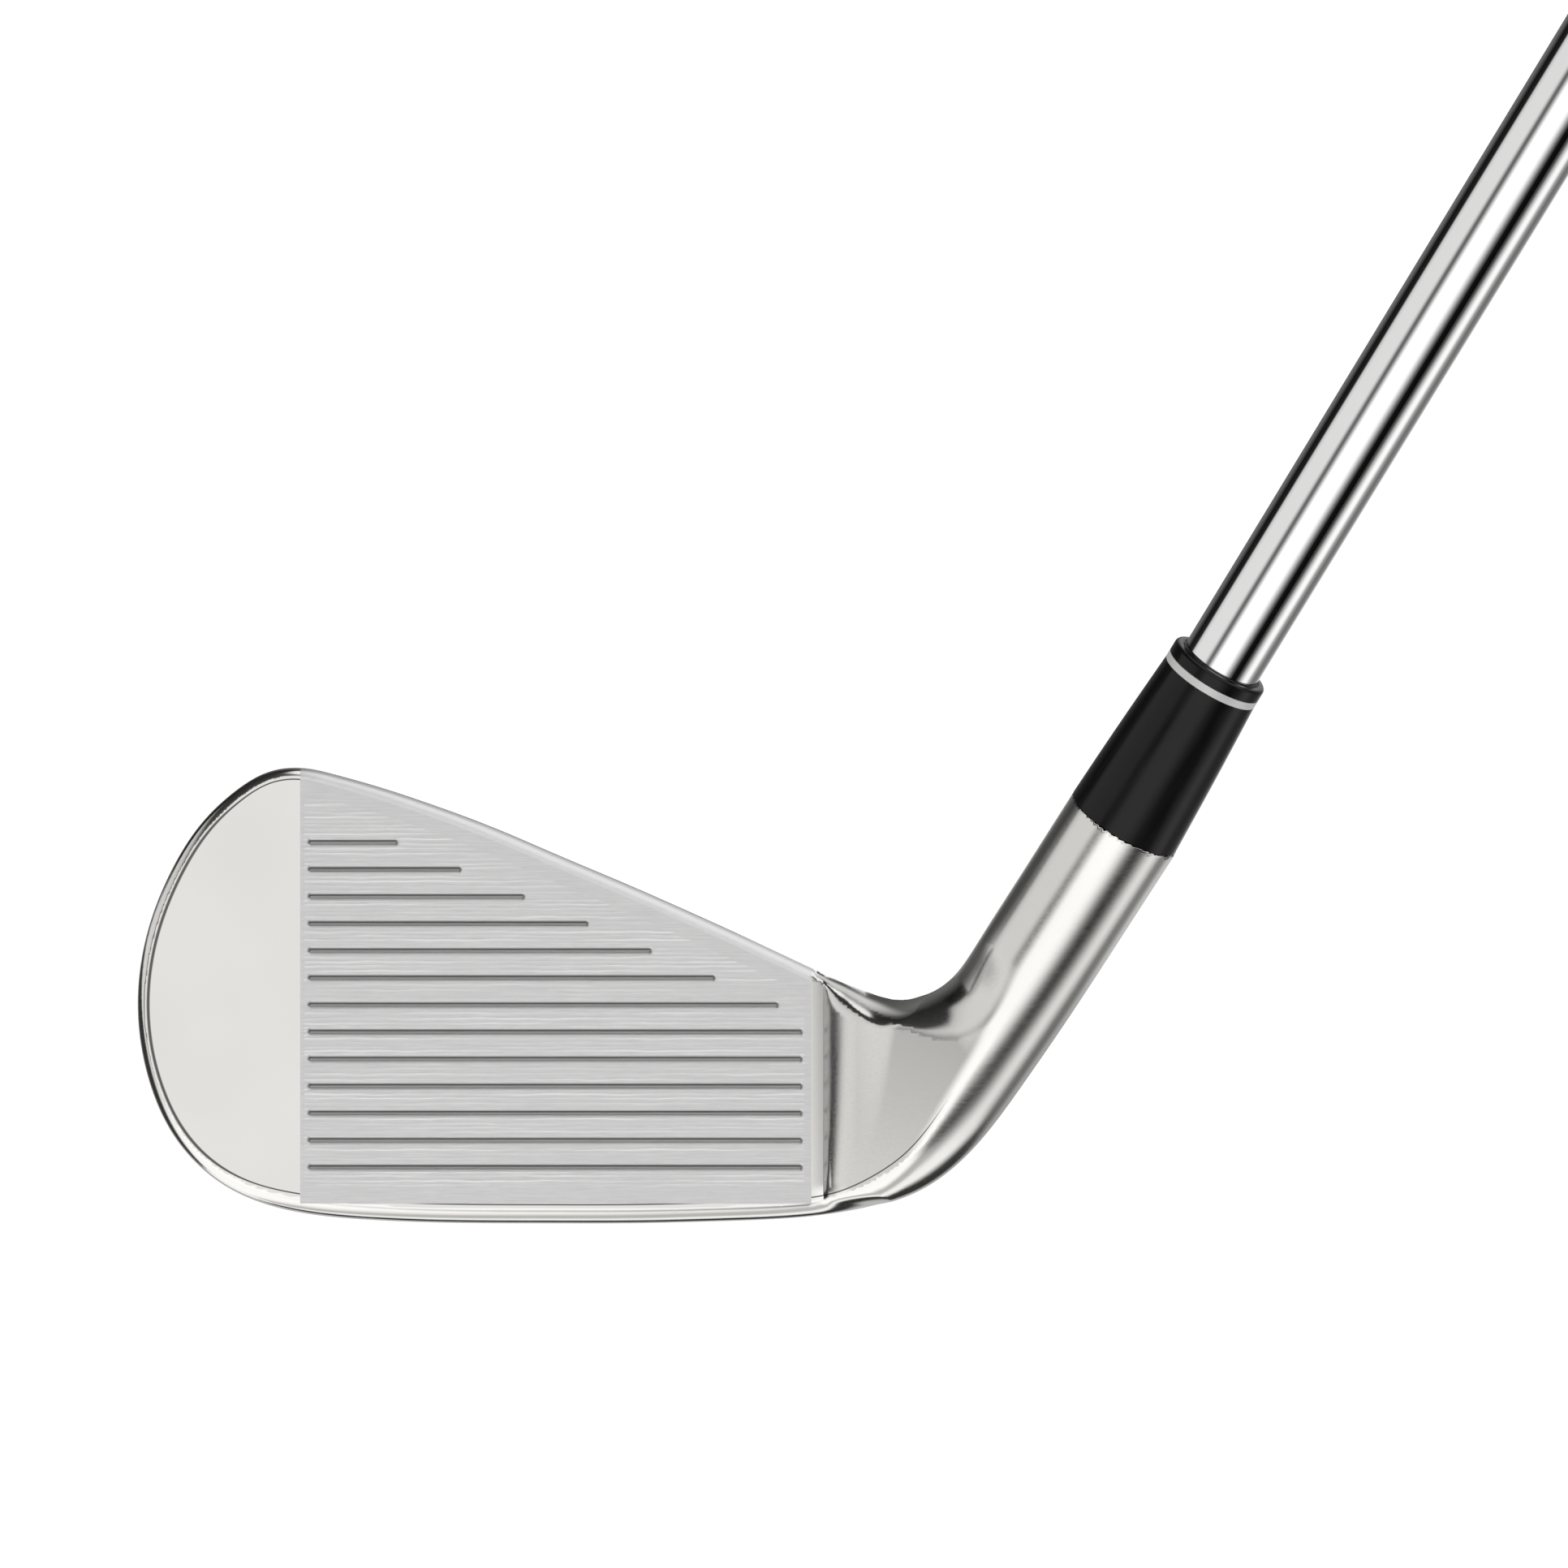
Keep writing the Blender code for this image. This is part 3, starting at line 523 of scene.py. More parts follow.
def surface_net(distance, low, high, step):
    """Vertices and quads round the zero level of a distance, one vertex to a crossed cell."""
    axes = [np.arange(low[k], high[k] + step, step) for k in range(3)]
    values = distance(axes[0][:, None, None], axes[1][None, :, None], axes[2][None, None, :])
    shape = np.array(values.shape)
    cells = shape - 1
    corners = [(a, b, c) for a in (0, 1) for b in (0, 1) for c in (0, 1)]

    def shifted(a, b, c):
        return values[a : a + cells[0], b : b + cells[1], c : c + cells[2]]

    inside = sum((shifted(*corner) < 0).astype(np.int8) for corner in corners)
    crossed = (inside > 0) & (inside < 8)
    index = np.full(cells, -1)
    index[crossed] = np.arange(crossed.sum())
    place = np.argwhere(crossed)
    total = np.zeros((len(place), 3))
    count = np.zeros(len(place))
    held = {corner: shifted(*corner)[crossed] for corner in corners}
    for corner in corners:
        for k in range(3):
            if corner[k]:
                continue
            other = tuple(1 if m == k else corner[m] for m in range(3))
            a, b = held[corner], held[other]
            cut = (a < 0) != (b < 0)
            spot = np.tile(np.array(corner, float), (cut.sum(), 1))
            spot[:, k] = a[cut] / (a[cut] - b[cut])
            total[cut] += spot
            count[cut] += 1
    vertices = low + (place + total / count[:, None]) * step
    quads = []
    for k in range(3):
        near = [slice(1, n - 1) for n in shape]
        near[k] = slice(0, shape[k] - 1)
        far = list(near)
        far[k] = slice(1, shape[k])
        a, b = values[tuple(near)] < 0, values[tuple(far)] < 0
        first, second = [m for m in range(3) if m != k]
        for wanted, flip in ((a & ~b, False), (b & ~a, True)):
            spots = np.argwhere(wanted)
            spots[:, first] += 1
            spots[:, second] += 1
            ring = []
            for p, q in ((-1, -1), (0, -1), (0, 0), (-1, 0)):
                cell = spots.copy()
                cell[:, first] += p
                cell[:, second] += q
                ring.append(index[cell[:, 0], cell[:, 1], cell[:, 2]])
            quad = np.stack(ring, 1)
            quads.append(quad[:, ::-1] if flip ^ (k == 1) else quad)
    return vertices, np.vstack(quads)


def settled(vertices, step):
    """Vertices moved onto the surface along its gradient."""
    limit = 0.5 * step
    for _ in range(3):
        slope = gradient(vertices)
        value = head_distance(*vertices.T)
        move = slope * (value / np.maximum((slope * slope).sum(1), 0.25))[:, None]
        length = np.linalg.norm(move, axis=1, keepdims=True)
        vertices = vertices - move * np.minimum(1, limit / np.maximum(length, 1e-9))
    return vertices


def corner_normals(vertices, faces, creased):
    """A normal per face corner: shared where the surface is smooth, split at its creases."""
    own = gradient(vertices)
    own /= np.linalg.norm(own, axis=1, keepdims=True)
    centres = vertices[faces].mean(1)
    spots = vertices[faces] * (1 - CORNER_PULL) + centres[:, None] * CORNER_PULL
    spots = spots.reshape(-1, 3)
    split = gradient(spots)
    split /= np.linalg.norm(split, axis=1, keepdims=True)
    shared = own[faces.reshape(-1)]
    smooth_enough = (split * shared).sum(1) > math.cos(math.radians(SPLIT_ANGLE))
    loops = faces.reshape(-1)
    sharp_vertex = creased.copy()
    sharp_vertex[loops[~smooth_enough]] = True
    return np.where(sharp_vertex[loops][:, None], split, shared)


def mesh_object(name, vertices, faces, normals=None):
    """A mesh object from row-frame vertices in metres."""
    mesh = bpy.data.meshes.new(name)
    mesh.from_pydata(vertices.tolist(), [], faces.tolist() if hasattr(faces, "tolist") else faces)
    mesh.shade_smooth()
    if normals is not None:
        mesh.normals_split_custom_set(normals.tolist())
    obj = bpy.data.objects.new(name, mesh)
    bpy.context.scene.collection.objects.link(obj)
    return obj


def store(obj, name, values):
    """Keeps a value per vertex for the finishes to read."""
    attribute = obj.data.attributes.new(name, "FLOAT", "POINT")
    attribute.data.foreach_set("value", values.astype(np.float32))


def head():
    """The steel head; its vertices beside the neck's start are put on that crease."""
    vertices, faces = surface_net(head_distance, HEAD_LOW, HEAD_HIGH, GRID_STEP)
    vertices = settled(vertices, GRID_STEP)
    u, v, w = vertices.T
    creased = np.abs(u - NECK_START) < 0.5 * GRID_STEP
    creased &= np.abs(w - front_surface(u, v)) < GRID_STEP
    creased &= OUTLINE_FIELD(u, v) < -rounds(u, v)[0]
    u[creased] = NECK_START
    w[creased] = front_surface(NECK_START, v[creased])
    normals = corner_normals(vertices, faces, creased) @ FACE_AXES
    obj = mesh_object("head", to_row(vertices), faces, normals)
    edge = OUTLINE_FIELD(u, v) + rounds(u, v)[0]
    # Strength of the painted shade line at the rounding's inner edge: it fades towards the hosel,
    # behind the face and on the upper heel.
    line = 1 - smoothstep(*PAINTED_SHADE_TURN, turn_about_saddle(u, v))
    line = line * smoothstep(*PAINTED_SHADE_W, w)
    line = line * (1 - smoothstep(*PAINTED_SHADE_HEEL_U, u) * smoothstep(*PAINTED_SHADE_HEEL_V, v))
    store(obj, "edge_mm", edge)
    store(obj, "painted_edge_shade", line)
    return obj


def groove_end(index):
    """u of a scoreline's heel end; the upper ones stop short under the topline."""
    if index < FULL_GROOVES:
        return GROOVE_HEEL
    return GROOVE_HEEL - GROOVE_STEP_FIRST - GROOVE_STEP * (index - FULL_GROOVES)


def topline_v(u):
    """v of the inner edge of the topline's rounding above each u."""
    low, high = (np.full_like(u, end) for end in TOPLINE_V)
    for _ in range(HALVINGS):
        mid = (low + high) / 2
        under = OUTLINE_FIELD(u, mid) < -TOP_ROUND
        low = np.where(under, mid, low)
        high = np.where(under, high, mid)
    return low


def face_relief(u, v):
    """How far the milling stands up, and how deep the scorelines are cut, both from 0 to 1."""
    rng = np.random.default_rng(SEED)
    mill = np.zeros_like(u)
    groove = np.full_like(u, np.inf)
    for index in range(GROOVES):
        line = GROOVE_LOW_V + GROOVE_PITCH * index
        start, end = GROOVE_TOE, groove_end(index)
        reach = np.hypot(np.maximum(np.maximum(start - u, u - end), 0), v - line)
        groove = np.minimum(groove, reach)
    line = MILL_LOW
    while line < FIELD_HIGH[1]:
        phase = rng.uniform(0, 2 * math.pi, 3)
        sway = sum(size * np.sin(u / length + at) for (size, length), at in zip(MILL_SWAY, phase))
        strength = 0.75 + 0.25 * np.sin(u / rng.uniform(2.5, 9.0) + phase[2])
        ridge = np.clip(1 - np.abs(v - line - sway) / MILL_WIDTH, 0, 1)
        mill += ridge * strength * rng.uniform(0.4, 1.0)
        line += MILL_PITCH * rng.uniform(0.75, 1.25)
    inner = -TOP_ROUND - MILL_CLEAR
    milled = smoothstep(0, 0.35, inner - OUTLINE_FIELD(u, v))
    milled = milled * smoothstep(MILL_LOW - 0.1, MILL_LOW + 0.2, v)
    milled = milled * smoothstep(0, MILL_EASE, u - MILL_TOE)
    milled = milled * smoothstep(0, MILL_EASE, MILL_HEEL - u)
    milled = milled * smoothstep(*GROOVE_MARGIN, groove)
    cut = np.clip((GROOVE_HALF - groove) / (GROOVE_HALF * GROOVE_WALL), 0, 1)
    return mill * milled, cut


def face_band():
    """The band as a sheet with its scorelines and milling cut in, on rows along the lines."""
    ends = {round(groove_end(i), 3) for i in range(GROOVES)} | {GROOVE_TOE}
    columns = [np.arange(BAND_TOE, BAND_HEEL, COLUMN_STEP), [BAND_HEEL, MILL_TOE, MILL_HEEL]]
    for end in sorted(ends):
        columns.append(np.arange(end - FINE_REACH, end + FINE_REACH, FINE_COLUMN))
    columns = np.unique(np.round(np.concatenate(columns), 2))
    columns = columns[(columns >= BAND_TOE) & (columns <= BAND_HEEL)]
    columns = columns[np.concatenate(([True], np.diff(columns) > COLUMN_LEAST))]
    top = topline_v(columns)
    rows = np.arange(BAND_LOW, top.max() + ROW_STEP, ROW_STEP)
    u, v = np.meshgrid(columns, rows, indexing="ij")
    clamped = np.minimum(v, top[:, None])
    mill, cut = face_relief(u, clamped)
    w = BAND_LIFT + MILL_HEIGHT * mill - GROOVE_DEPTH * cut
    points = np.stack((u, clamped, w), -1)
    index = np.arange(u.size).reshape(u.shape)
    free = v < top[:, None] - 1e-6
    used = free[:-1, :-1] | free[1:, :-1]
    quads = np.stack((index[:-1, :-1], index[1:, :-1], index[1:, 1:], index[:-1, 1:]), -1)[used]
    # shade is painted shade for the scorelines: none outside them, and darkest towards their upper
    # wall.
    line = np.round((clamped - GROOVE_LOW_V) / GROOVE_PITCH) * GROOVE_PITCH + GROOVE_LOW_V
    shade = cut * np.clip(0.5 + 0.5 * (clamped - line) / GROOVE_HALF, 0, 1)
    points = np.concatenate((to_row(points), np.stack((mill, shade), -1)), -1).reshape(-1, 5)
    vertices, faces = welded(points, quads)
    obj = mesh_object("face_band", vertices[:, :3], faces)
    store(obj, "mill", vertices[:, 3])
    store(obj, "shade", vertices[:, 4])
    return obj


def welded(vertices, faces):
    """Coincident vertices made one, and the faces that vanish with them dropped."""
    keys = np.round(vertices[:, :3], 8)
    _, first, inverse = np.unique(keys, axis=0, return_index=True, return_inverse=True)
    faces = inverse.reshape(-1)[faces]
    kept = []
    for face in faces.tolist():
        ring = [a for a, b in zip(face, face[1:] + face[:1]) if a != b]
        if len(set(ring)) >= 3:
            kept.append(ring)
    return vertices[first], kept


def turned(name, profile, segments=128, wobble=None):
    """A profile of (radius, height) turned about the shaft axis, listed down its outer side."""
    profile = np.array(profile, float)
    angle = np.linspace(0, 2 * math.pi, segments, endpoint=False)
    radius = profile[:, :1] + (wobble(angle[None, :], profile[:, 1:]) if wobble else 0)
    ring = np.cos(angle)[:, None] * FRONT + np.sin(angle)[:, None] * SIDE
    points = radius[:, :, None] * ring[None] + (profile[:, 1] - HOLD)[:, None, None] * AXIS
    index = np.arange(len(profile) * segments).reshape(len(profile), segments)
    following = np.roll(index, -1, axis=1)
    quads = np.stack((index[:-1], index[1:], following[1:], following[:-1]), -1).reshape(-1, 4)
    obj = mesh_object(name, *welded(points.reshape(-1, 3) * MM, quads))
    obj.data.set_sharp_from_angle(angle=SHARP_ANGLE)
    return obj


def arc(centre, radius, start, end, count=8):
    """Profile points on an arc, angles from straight out towards the top, in degrees."""
    angles = np.radians(np.linspace(start, end, count))
    return [(centre[0] + radius * math.cos(a), centre[1] + radius * math.sin(a)) for a in angles]


# Shaft, ferrule and grip
SHARP_ANGLE = math.radians(32)
SHAFT_TIP_RADIUS = 4.7
SHAFT_BUTT_RADIUS = 7.62
SHAFT_BUTT = 985.6
SHAFT_TIP = 27.3
SHAFT_BORE = 3.95
FIRST_STEP = 255.0
LAST_STEP = 640.0
STEP_LENGTH = 1.2
STEPS = 15
FERRULE_RING_BASE = 76.9
FERRULE_RING_TOP = 77.85
FERRULE_TOP = 79.4
FERRULE_TOP_RADIUS = 5.85
FERRULE_SWELL = 0.06
FERRULE_ROUND = 0.45
RING_EDGE = 0.06
BAND_BASE = 655.0
BAND_TOP = 712.0
BAND_RADIUS = 8.07
BAND_EDGE = 0.2
BAND_RING = (22.0, 23.6)
GRIP_MOUTH = 723.6
GRIP_MOUTH_RADIUS = 9.1
GRIP_LIP_RADIUS = 9.4
GRIP_BUTT_RADIUS = 12.9
GRIP_INNER = 8.47
CUTS_BASE = GRIP_MOUTH + 20
CUTS_AROUND = 24
CUT_PITCH = 3.4
CUT_DEPTH = 0.35
CUT_BAND = 57
CUT_BAND_PLAIN = 53  # the plain ring's height in each band
CAP_BASE = 981.0
CAP_RADIUS = 13.3
CAP_ROUND = 3.4
VENT_RADIUS = 1.5


def shaft():
    growth = (SHAFT_BUTT_RADIUS - SHAFT_TIP_RADIUS) / STEPS
    profile = [(SHAFT_BUTT_RADIUS - 0.4, SHAFT_BUTT), (SHAFT_BUTT_RADIUS, SHAFT_BUTT - 0.3)]
    for index in reversed(range(STEPS)):
        height = FIRST_STEP + (LAST_STEP - FIRST_STEP) / (STEPS - 1) * index
        radius = SHAFT_TIP_RADIUS + growth * index
        for t in np.linspace(1, 0, 7):
            profile.append((radius + growth * (3 * t * t - 2 * t**3), height + STEP_LENGTH * t))
    profile += [(SHAFT_TIP_RADIUS, SHAFT_TIP + 0.4), (SHAFT_TIP_RADIUS - 0.35, SHAFT_TIP)]
    profile += [(SHAFT_BORE, SHAFT_TIP), (SHAFT_BORE, SHAFT_TIP + 30)]
    return turned("shaft_tube", profile, 144)


def ferrule_cone():
    profile = [(SHAFT_TIP_RADIUS, FERRULE_RING_BASE), (FERRULE_TOP_RADIUS, FERRULE_RING_BASE)]
    for t in np.linspace(0, 1, 14)[1:]:
        swell = FERRULE_SWELL * math.sin(math.pi * t)
        radius = FERRULE_TOP_RADIUS + (HOSEL_RADIUS - FERRULE_TOP_RADIUS) * t + swell
        profile.append((radius, FERRULE_RING_BASE + (HOSEL_TOP - FERRULE_RING_BASE) * t))
    profile.append((BORE_RADIUS, HOSEL_TOP))
    return turned("ferrule_body", profile)


def ferrule_ring():
    outer = FERRULE_TOP_RADIUS
    low, high = FERRULE_RING_BASE, FERRULE_RING_TOP
    profile = [(SHAFT_TIP_RADIUS, high), (outer - RING_EDGE, high), (outer, high - RING_EDGE)]
    profile += [(outer, low + RING_EDGE), (outer - RING_EDGE, low), (SHAFT_TIP_RADIUS, low)]
    return turned("ferrule_inlay", profile)


def ferrule_collar():
    outer = FERRULE_TOP_RADIUS
    profile = [(SHAFT_TIP_RADIUS + 0.03, FERRULE_TOP - 0.25), (SHAFT_TIP_RADIUS + 0.3, FERRULE_TOP)]
    profile += [(outer - FERRULE_ROUND, FERRULE_TOP)]
    centre = (outer - FERRULE_ROUND, FERRULE_TOP - FERRULE_ROUND)
    profile += reversed(arc(centre, FERRULE_ROUND, 0, 90))
    profile += [(outer, FERRULE_RING_TOP + 0.05), (outer - 0.05, FERRULE_RING_TOP)]
    profile += [(SHAFT_TIP_RADIUS, FERRULE_RING_TOP)]
    return turned("ferrule_cap", profile)


def shaft_band():
    profile = [(SHAFT_BUTT_RADIUS, BAND_TOP), (BAND_RADIUS, BAND_TOP - BAND_EDGE)]
    profile += [(BAND_RADIUS, BAND_BASE + BAND_EDGE), (SHAFT_BUTT_RADIUS, BAND_BASE)]
    return turned("shaft_film", profile)


def grip_profile():
    """Radius of the grip's outside at each height."""
    heights = (GRIP_MOUTH, GRIP_MOUTH + 1, GRIP_MOUTH + 4, GRIP_MOUTH + 6, GRIP_MOUTH + 25)
    radii = (8.8, GRIP_LIP_RADIUS, GRIP_LIP_RADIUS, GRIP_MOUTH_RADIUS, GRIP_MOUTH_RADIUS + 0.3)
    heights += (CAP_BASE - 140, CAP_BASE - 60, CAP_BASE)
    radii += (GRIP_MOUTH_RADIUS + 1.6, GRIP_BUTT_RADIUS - 0.9, GRIP_BUTT_RADIUS)
    return np.array(heights), np.array(radii)


def grip_relief(angle, height):
    """Slanted traction cuts in bands with plain rings between them, and plain at both ends."""
    around = angle / (2 * math.pi) * CUTS_AROUND
    along = height / CUT_PITCH
    cut = np.minimum(np.abs((around + along) % 2 - 1), np.abs((around - along) % 2 - 1))
    depth = CUT_DEPTH * (1 - smoothstep(0.05, 0.3, cut))
    zone = smoothstep(GRIP_MOUTH + 14, CUTS_BASE, height) * smoothstep(0, 8, CAP_BASE - 10 - height)
    gap = np.abs((height - CUTS_BASE) % CUT_BAND - CUT_BAND_PLAIN)
    zone = zone * smoothstep(1.5, 3.0, gap)
    return -depth * zone


def grip_sleeve():
    heights, radii = grip_profile()
    steps = np.concatenate((heights, np.arange(GRIP_MOUTH + 12, CAP_BASE - 8, 0.85)))
    steps = np.unique(np.round(steps, 3))[::-1]
    steps = np.concatenate(([CAP_BASE], steps[steps < CAP_BASE - 0.1]))
    profile = [(np.interp(h, heights, radii), h) for h in steps]
    profile = [(GRIP_INNER, CAP_BASE)] + profile + [(GRIP_INNER, GRIP_MOUTH)]
    return turned("grip_sleeve_moulded", profile, 192, grip_relief)


def grip_cap():
    top = CLUB_LENGTH
    profile = [(VENT_RADIUS, SHAFT_BUTT + 0.4), (VENT_RADIUS, top - 0.25)]
    profile += [(VENT_RADIUS + 0.25, top), (8.6, top), (8.8, top - 0.35), (9.4, top - 0.35)]
    profile += [(9.6, top), (CAP_RADIUS - CAP_ROUND, top)]
    profile += reversed(arc((CAP_RADIUS - CAP_ROUND, top - CAP_ROUND), CAP_ROUND, 0, 90, 10))
    profile += [(CAP_RADIUS, top - 4.4), (GRIP_BUTT_RADIUS + 0.02, CAP_BASE + 3.0)]
    profile += [(GRIP_BUTT_RADIUS, CAP_BASE + 0.3), (GRIP_BUTT_RADIUS - 0.3, CAP_BASE)]
    profile += [(GRIP_INNER, CAP_BASE)]
    return turned("grip_cap_moulded", profile)


# Finishes

FACE_MATRIX = Matrix(np.column_stack((ACROSS, UP, NORMAL)).tolist())
AXIS_MATRIX = Matrix(np.column_stack((FRONT, SIDE, AXIS)).tolist())


class Nodes:
    """A material and short calls for its nodes."""

    def __init__(self, name):
        self.material = bpy.data.materials.new(name)
        self.material.use_nodes = True
        self.tree = self.material.node_tree

    def node(self, kind, **settings):
        node = self.tree.nodes.new(kind)
        for key, value in settings.items():
            setattr(node, key, value)
        return node

    def link(self, output, socket):
        self.tree.links.new(output, socket)

    def put(self, socket, value):
        if isinstance(value, bpy.types.NodeSocket):
            self.link(value, socket)
        else:
            socket.default_value = value

    def math(self, operation, a, b=0.0, c=None):
        node = self.node("ShaderNodeMath", operation=operation)
        self.put(node.inputs[0], a)
        self.put(node.inputs[1], b)
        if c is not None:
            self.put(node.inputs[2], c)
        return node.outputs[0]

    def ramp(self, value, low, high, to_low=0.0, to_high=1.0, kind="SMOOTHSTEP"):
        node = self.node("ShaderNodeMapRange", interpolation_type=kind)
        self.put(node.inputs["Value"], value)
        node.inputs["From Min"].default_value = low
        node.inputs["From Max"].default_value = high
        node.inputs["To Min"].default_value = to_low
        node.inputs["To Max"].default_value = to_high
        return node.outputs["Result"]

    def blend(self, factor, a, b):
        node = self.node("ShaderNodeMix", data_type="RGBA")
        self.put(node.inputs[0], factor)
        self.put(node.inputs[6], a if isinstance(a, bpy.types.NodeSocket) else (*a, 1))
        self.put(node.inputs[7], b if isinstance(b, bpy.types.NodeSocket) else (*b, 1))
        return node.outputs[2]


class Finish(Nodes):
    """A material with its Principled shader, placed in the face's or the shaft's frame."""

    def __init__(self, name, colour, roughness, metallic=0.0, on_shaft=False):
        super().__init__(name)
        self.shader = self.tree.nodes["Principled BSDF"]
        self.shader.inputs["Base Color"].default_value = (*colour, 1)
        self.shader.inputs["Roughness"].default_value = roughness
        self.shader.inputs["Metallic"].default_value = metallic
        coordinates = self.node("ShaderNodeTexCoord")
        mapping = self.node("ShaderNodeMapping", vector_type="TEXTURE")
        turned_to = AXIS_MATRIX if on_shaft else FACE_MATRIX
        mapping.inputs["Location"].default_value = (0, 0, 0) if on_shaft else FACE_BASE * MM
        mapping.inputs["Rotation"].default_value = turned_to.to_euler()
        mapping.inputs["Scale"].default_value = (MM, MM, MM)
        self.link(coordinates.outputs["Object"], mapping.inputs["Vector"])
        self.place = mapping.outputs["Vector"]

    def attribute(self, name):
        return self.node("ShaderNodeAttribute", attribute_name=name).outputs["Fac"]

    def noise(self, scale, detail=3.0, roughness=0.5):
        """Noise with its own scale along each axis, per millimetre."""
        scaled = self.node("ShaderNodeVectorMath", operation="MULTIPLY")
        self.link(self.place, scaled.inputs[0])
        scaled.inputs[1].default_value = scale
        node = self.node("ShaderNodeTexNoise")
        node.inputs["Scale"].default_value = 1.0
        node.inputs["Detail"].default_value = detail
        node.inputs["Roughness"].default_value = roughness
        self.link(scaled.outputs[0], node.inputs["Vector"])
        return node.outputs[0]

    def axes(self):
        node = self.node("ShaderNodeSeparateXYZ")
        self.link(self.place, node.inputs[0])
        return node.outputs

    def colour(self, value):
        self.link(value, self.shader.inputs["Base Color"])

    def roughness(self, value):
        self.link(value, self.shader.inputs["Roughness"])

    def grained(self, grain, dark, light, smooth, rough):
        """Colour and roughness that follow a grain."""
        self.colour(self.blend(grain, dark, light))
        self.roughness(self.ramp(grain, 0.3, 0.7, smooth, rough))

    def bump(self, height, distance_mm):
        node = self.node("ShaderNodeBump")
        node.inputs["Strength"].default_value = 1.0
        node.inputs["Distance"].default_value = distance_mm * MM
        self.link(height, node.inputs["Height"])
        self.link(node.outputs[0], self.shader.inputs["Normal"])


def steel_head():
    """Satin steel, with the blasted finish over the band's share of the topline, and a painted shade
    line at the rounding's inner edge.
    """
    finish = Finish("satin_steel", (0.8, 0.79, 0.765), 0.24, 1.0)
    u, v, w = finish.axes()
    toe_end = finish.ramp(u, BAND_TOE - 0.05, BAND_TOE + 0.05)
    heel_end = finish.ramp(u, BAND_HEEL - 0.05, BAND_HEEL + 0.05, 1, 0)
    band = finish.math("MULTIPLY", toe_end, heel_end)
    band = finish.math("MULTIPLY", band, finish.ramp(v, BAND_LOW + 0.3, BAND_LOW + 0.6))
    band = finish.math("MULTIPLY", band, finish.ramp(w, -2.2, -1.9))
    patina = finish.noise((0.05, 0.05, 0.05), 2.0)
    satin = finish.blend(finish.ramp(patina, 0.35, 0.65), (0.79, 0.78, 0.755), (0.815, 0.805, 0.78))
    grain = finish.noise((0.5, 5.0, 5.0), 4.0)
    polish = finish.ramp(grain, 0.3, 0.7, 0.14, 0.19)
    edge = finish.attribute("edge_mm")
    rim = finish.math("MULTIPLY", finish.ramp(edge, 0.0, 0.4), finish.ramp(u, 38.0, 46.0, 1, 0))
    polish = finish.math("MULTIPLY_ADD", rim, -0.04, polish)
    finish.roughness(finish.math("MULTIPLY_ADD", band, 0.28, polish))
    # Painted shade: a thin dark line along the rounding's inner edge, wider towards the toe and kept
    # off the blasted band.
    painted_shade_width = finish.ramp(u, -44.0, -34.0, 0.26, 0.12)
    line = finish.math("DIVIDE", finish.math("ABSOLUTE", edge), painted_shade_width)
    line = finish.ramp(line, 0.35, 1.0, 1, 0)
    line = finish.math("MULTIPLY", line, finish.attribute("painted_edge_shade"))
    line = finish.math("MULTIPLY", line, finish.math("SUBTRACT", 1.0, band))
    steel = finish.blend(band, satin, (0.8, 0.8, 0.8))
    finish.colour(finish.blend(line, steel, (0.12, 0.118, 0.115)))
    speck = finish.noise((14.0, 14.0, 14.0), 2.0)
    fine = finish.math("MULTIPLY", grain, 0.25)
    finish.bump(finish.math("MULTIPLY_ADD", band, speck, fine), 0.004)
    return finish.material


def steel_band():
    """Blasted steel with fine milling marks, and painted shade down in the scorelines, darkest at
    their upper wall.
    """
    finish = Finish("milled_steel", (0.69, 0.69, 0.69), 0.46, 1.0)
    w = finish.axes()[2]
    streak = finish.noise((0.16, 7.0, 1.0), 4.0, 0.6)
    fine = finish.noise((0.5, 16.0, 1.0), 3.0)
    inside = finish.ramp(w, -0.3, -0.04, 1, 0)
    tone = finish.blend(finish.ramp(streak, 0.35, 0.7), (0.72, 0.72, 0.72), (0.79, 0.79, 0.785))
    tone = finish.blend(finish.ramp(finish.attribute("mill"), 0.05, 0.8), tone, (0.97, 0.97, 0.965))
    # Painted shade inside the scorelines: dark at their upper wall, lighter at their lower wall.
    shade = finish.ramp(finish.attribute("shade"), 0.2, 0.75)
    cut = finish.blend(shade, (0.7, 0.695, 0.69), (0.09, 0.09, 0.088))
    finish.colour(finish.blend(inside, tone, cut))
    finish.roughness(finish.ramp(fine, 0.3, 0.7, 0.42, 0.54))
    finish.bump(finish.math("ADD", streak, finish.math("MULTIPLY", fine, 0.5)), 0.012)
    return finish.material


def polished_chrome():
    finish = Finish("polished_chrome", (0.9, 0.9, 0.895), 0.035, 1.0, on_shaft=True)
    haze = finish.noise((0.15, 0.15, 0.02))
    finish.roughness(finish.ramp(haze, 0.3, 0.7, 0.025, 0.05))
    haze = finish.ramp(haze, 0.3, 0.7)
    finish.colour(finish.blend(haze, (0.9, 0.9, 0.895), (0.925, 0.925, 0.92)))
    return finish.material


def gloss_black():
    finish = Finish("gloss_black", (0.012, 0.012, 0.012), 0.16, 0.0, on_shaft=True)
    finish.shader.inputs["Specular IOR Level"].default_value = 0.24
    wear = finish.noise((1.5, 1.5, 0.15), 4.0)
    finish.grained(wear, (0.0035,) * 3, (0.006, 0.006, 0.0058), 0.13, 0.22)
    return finish.material


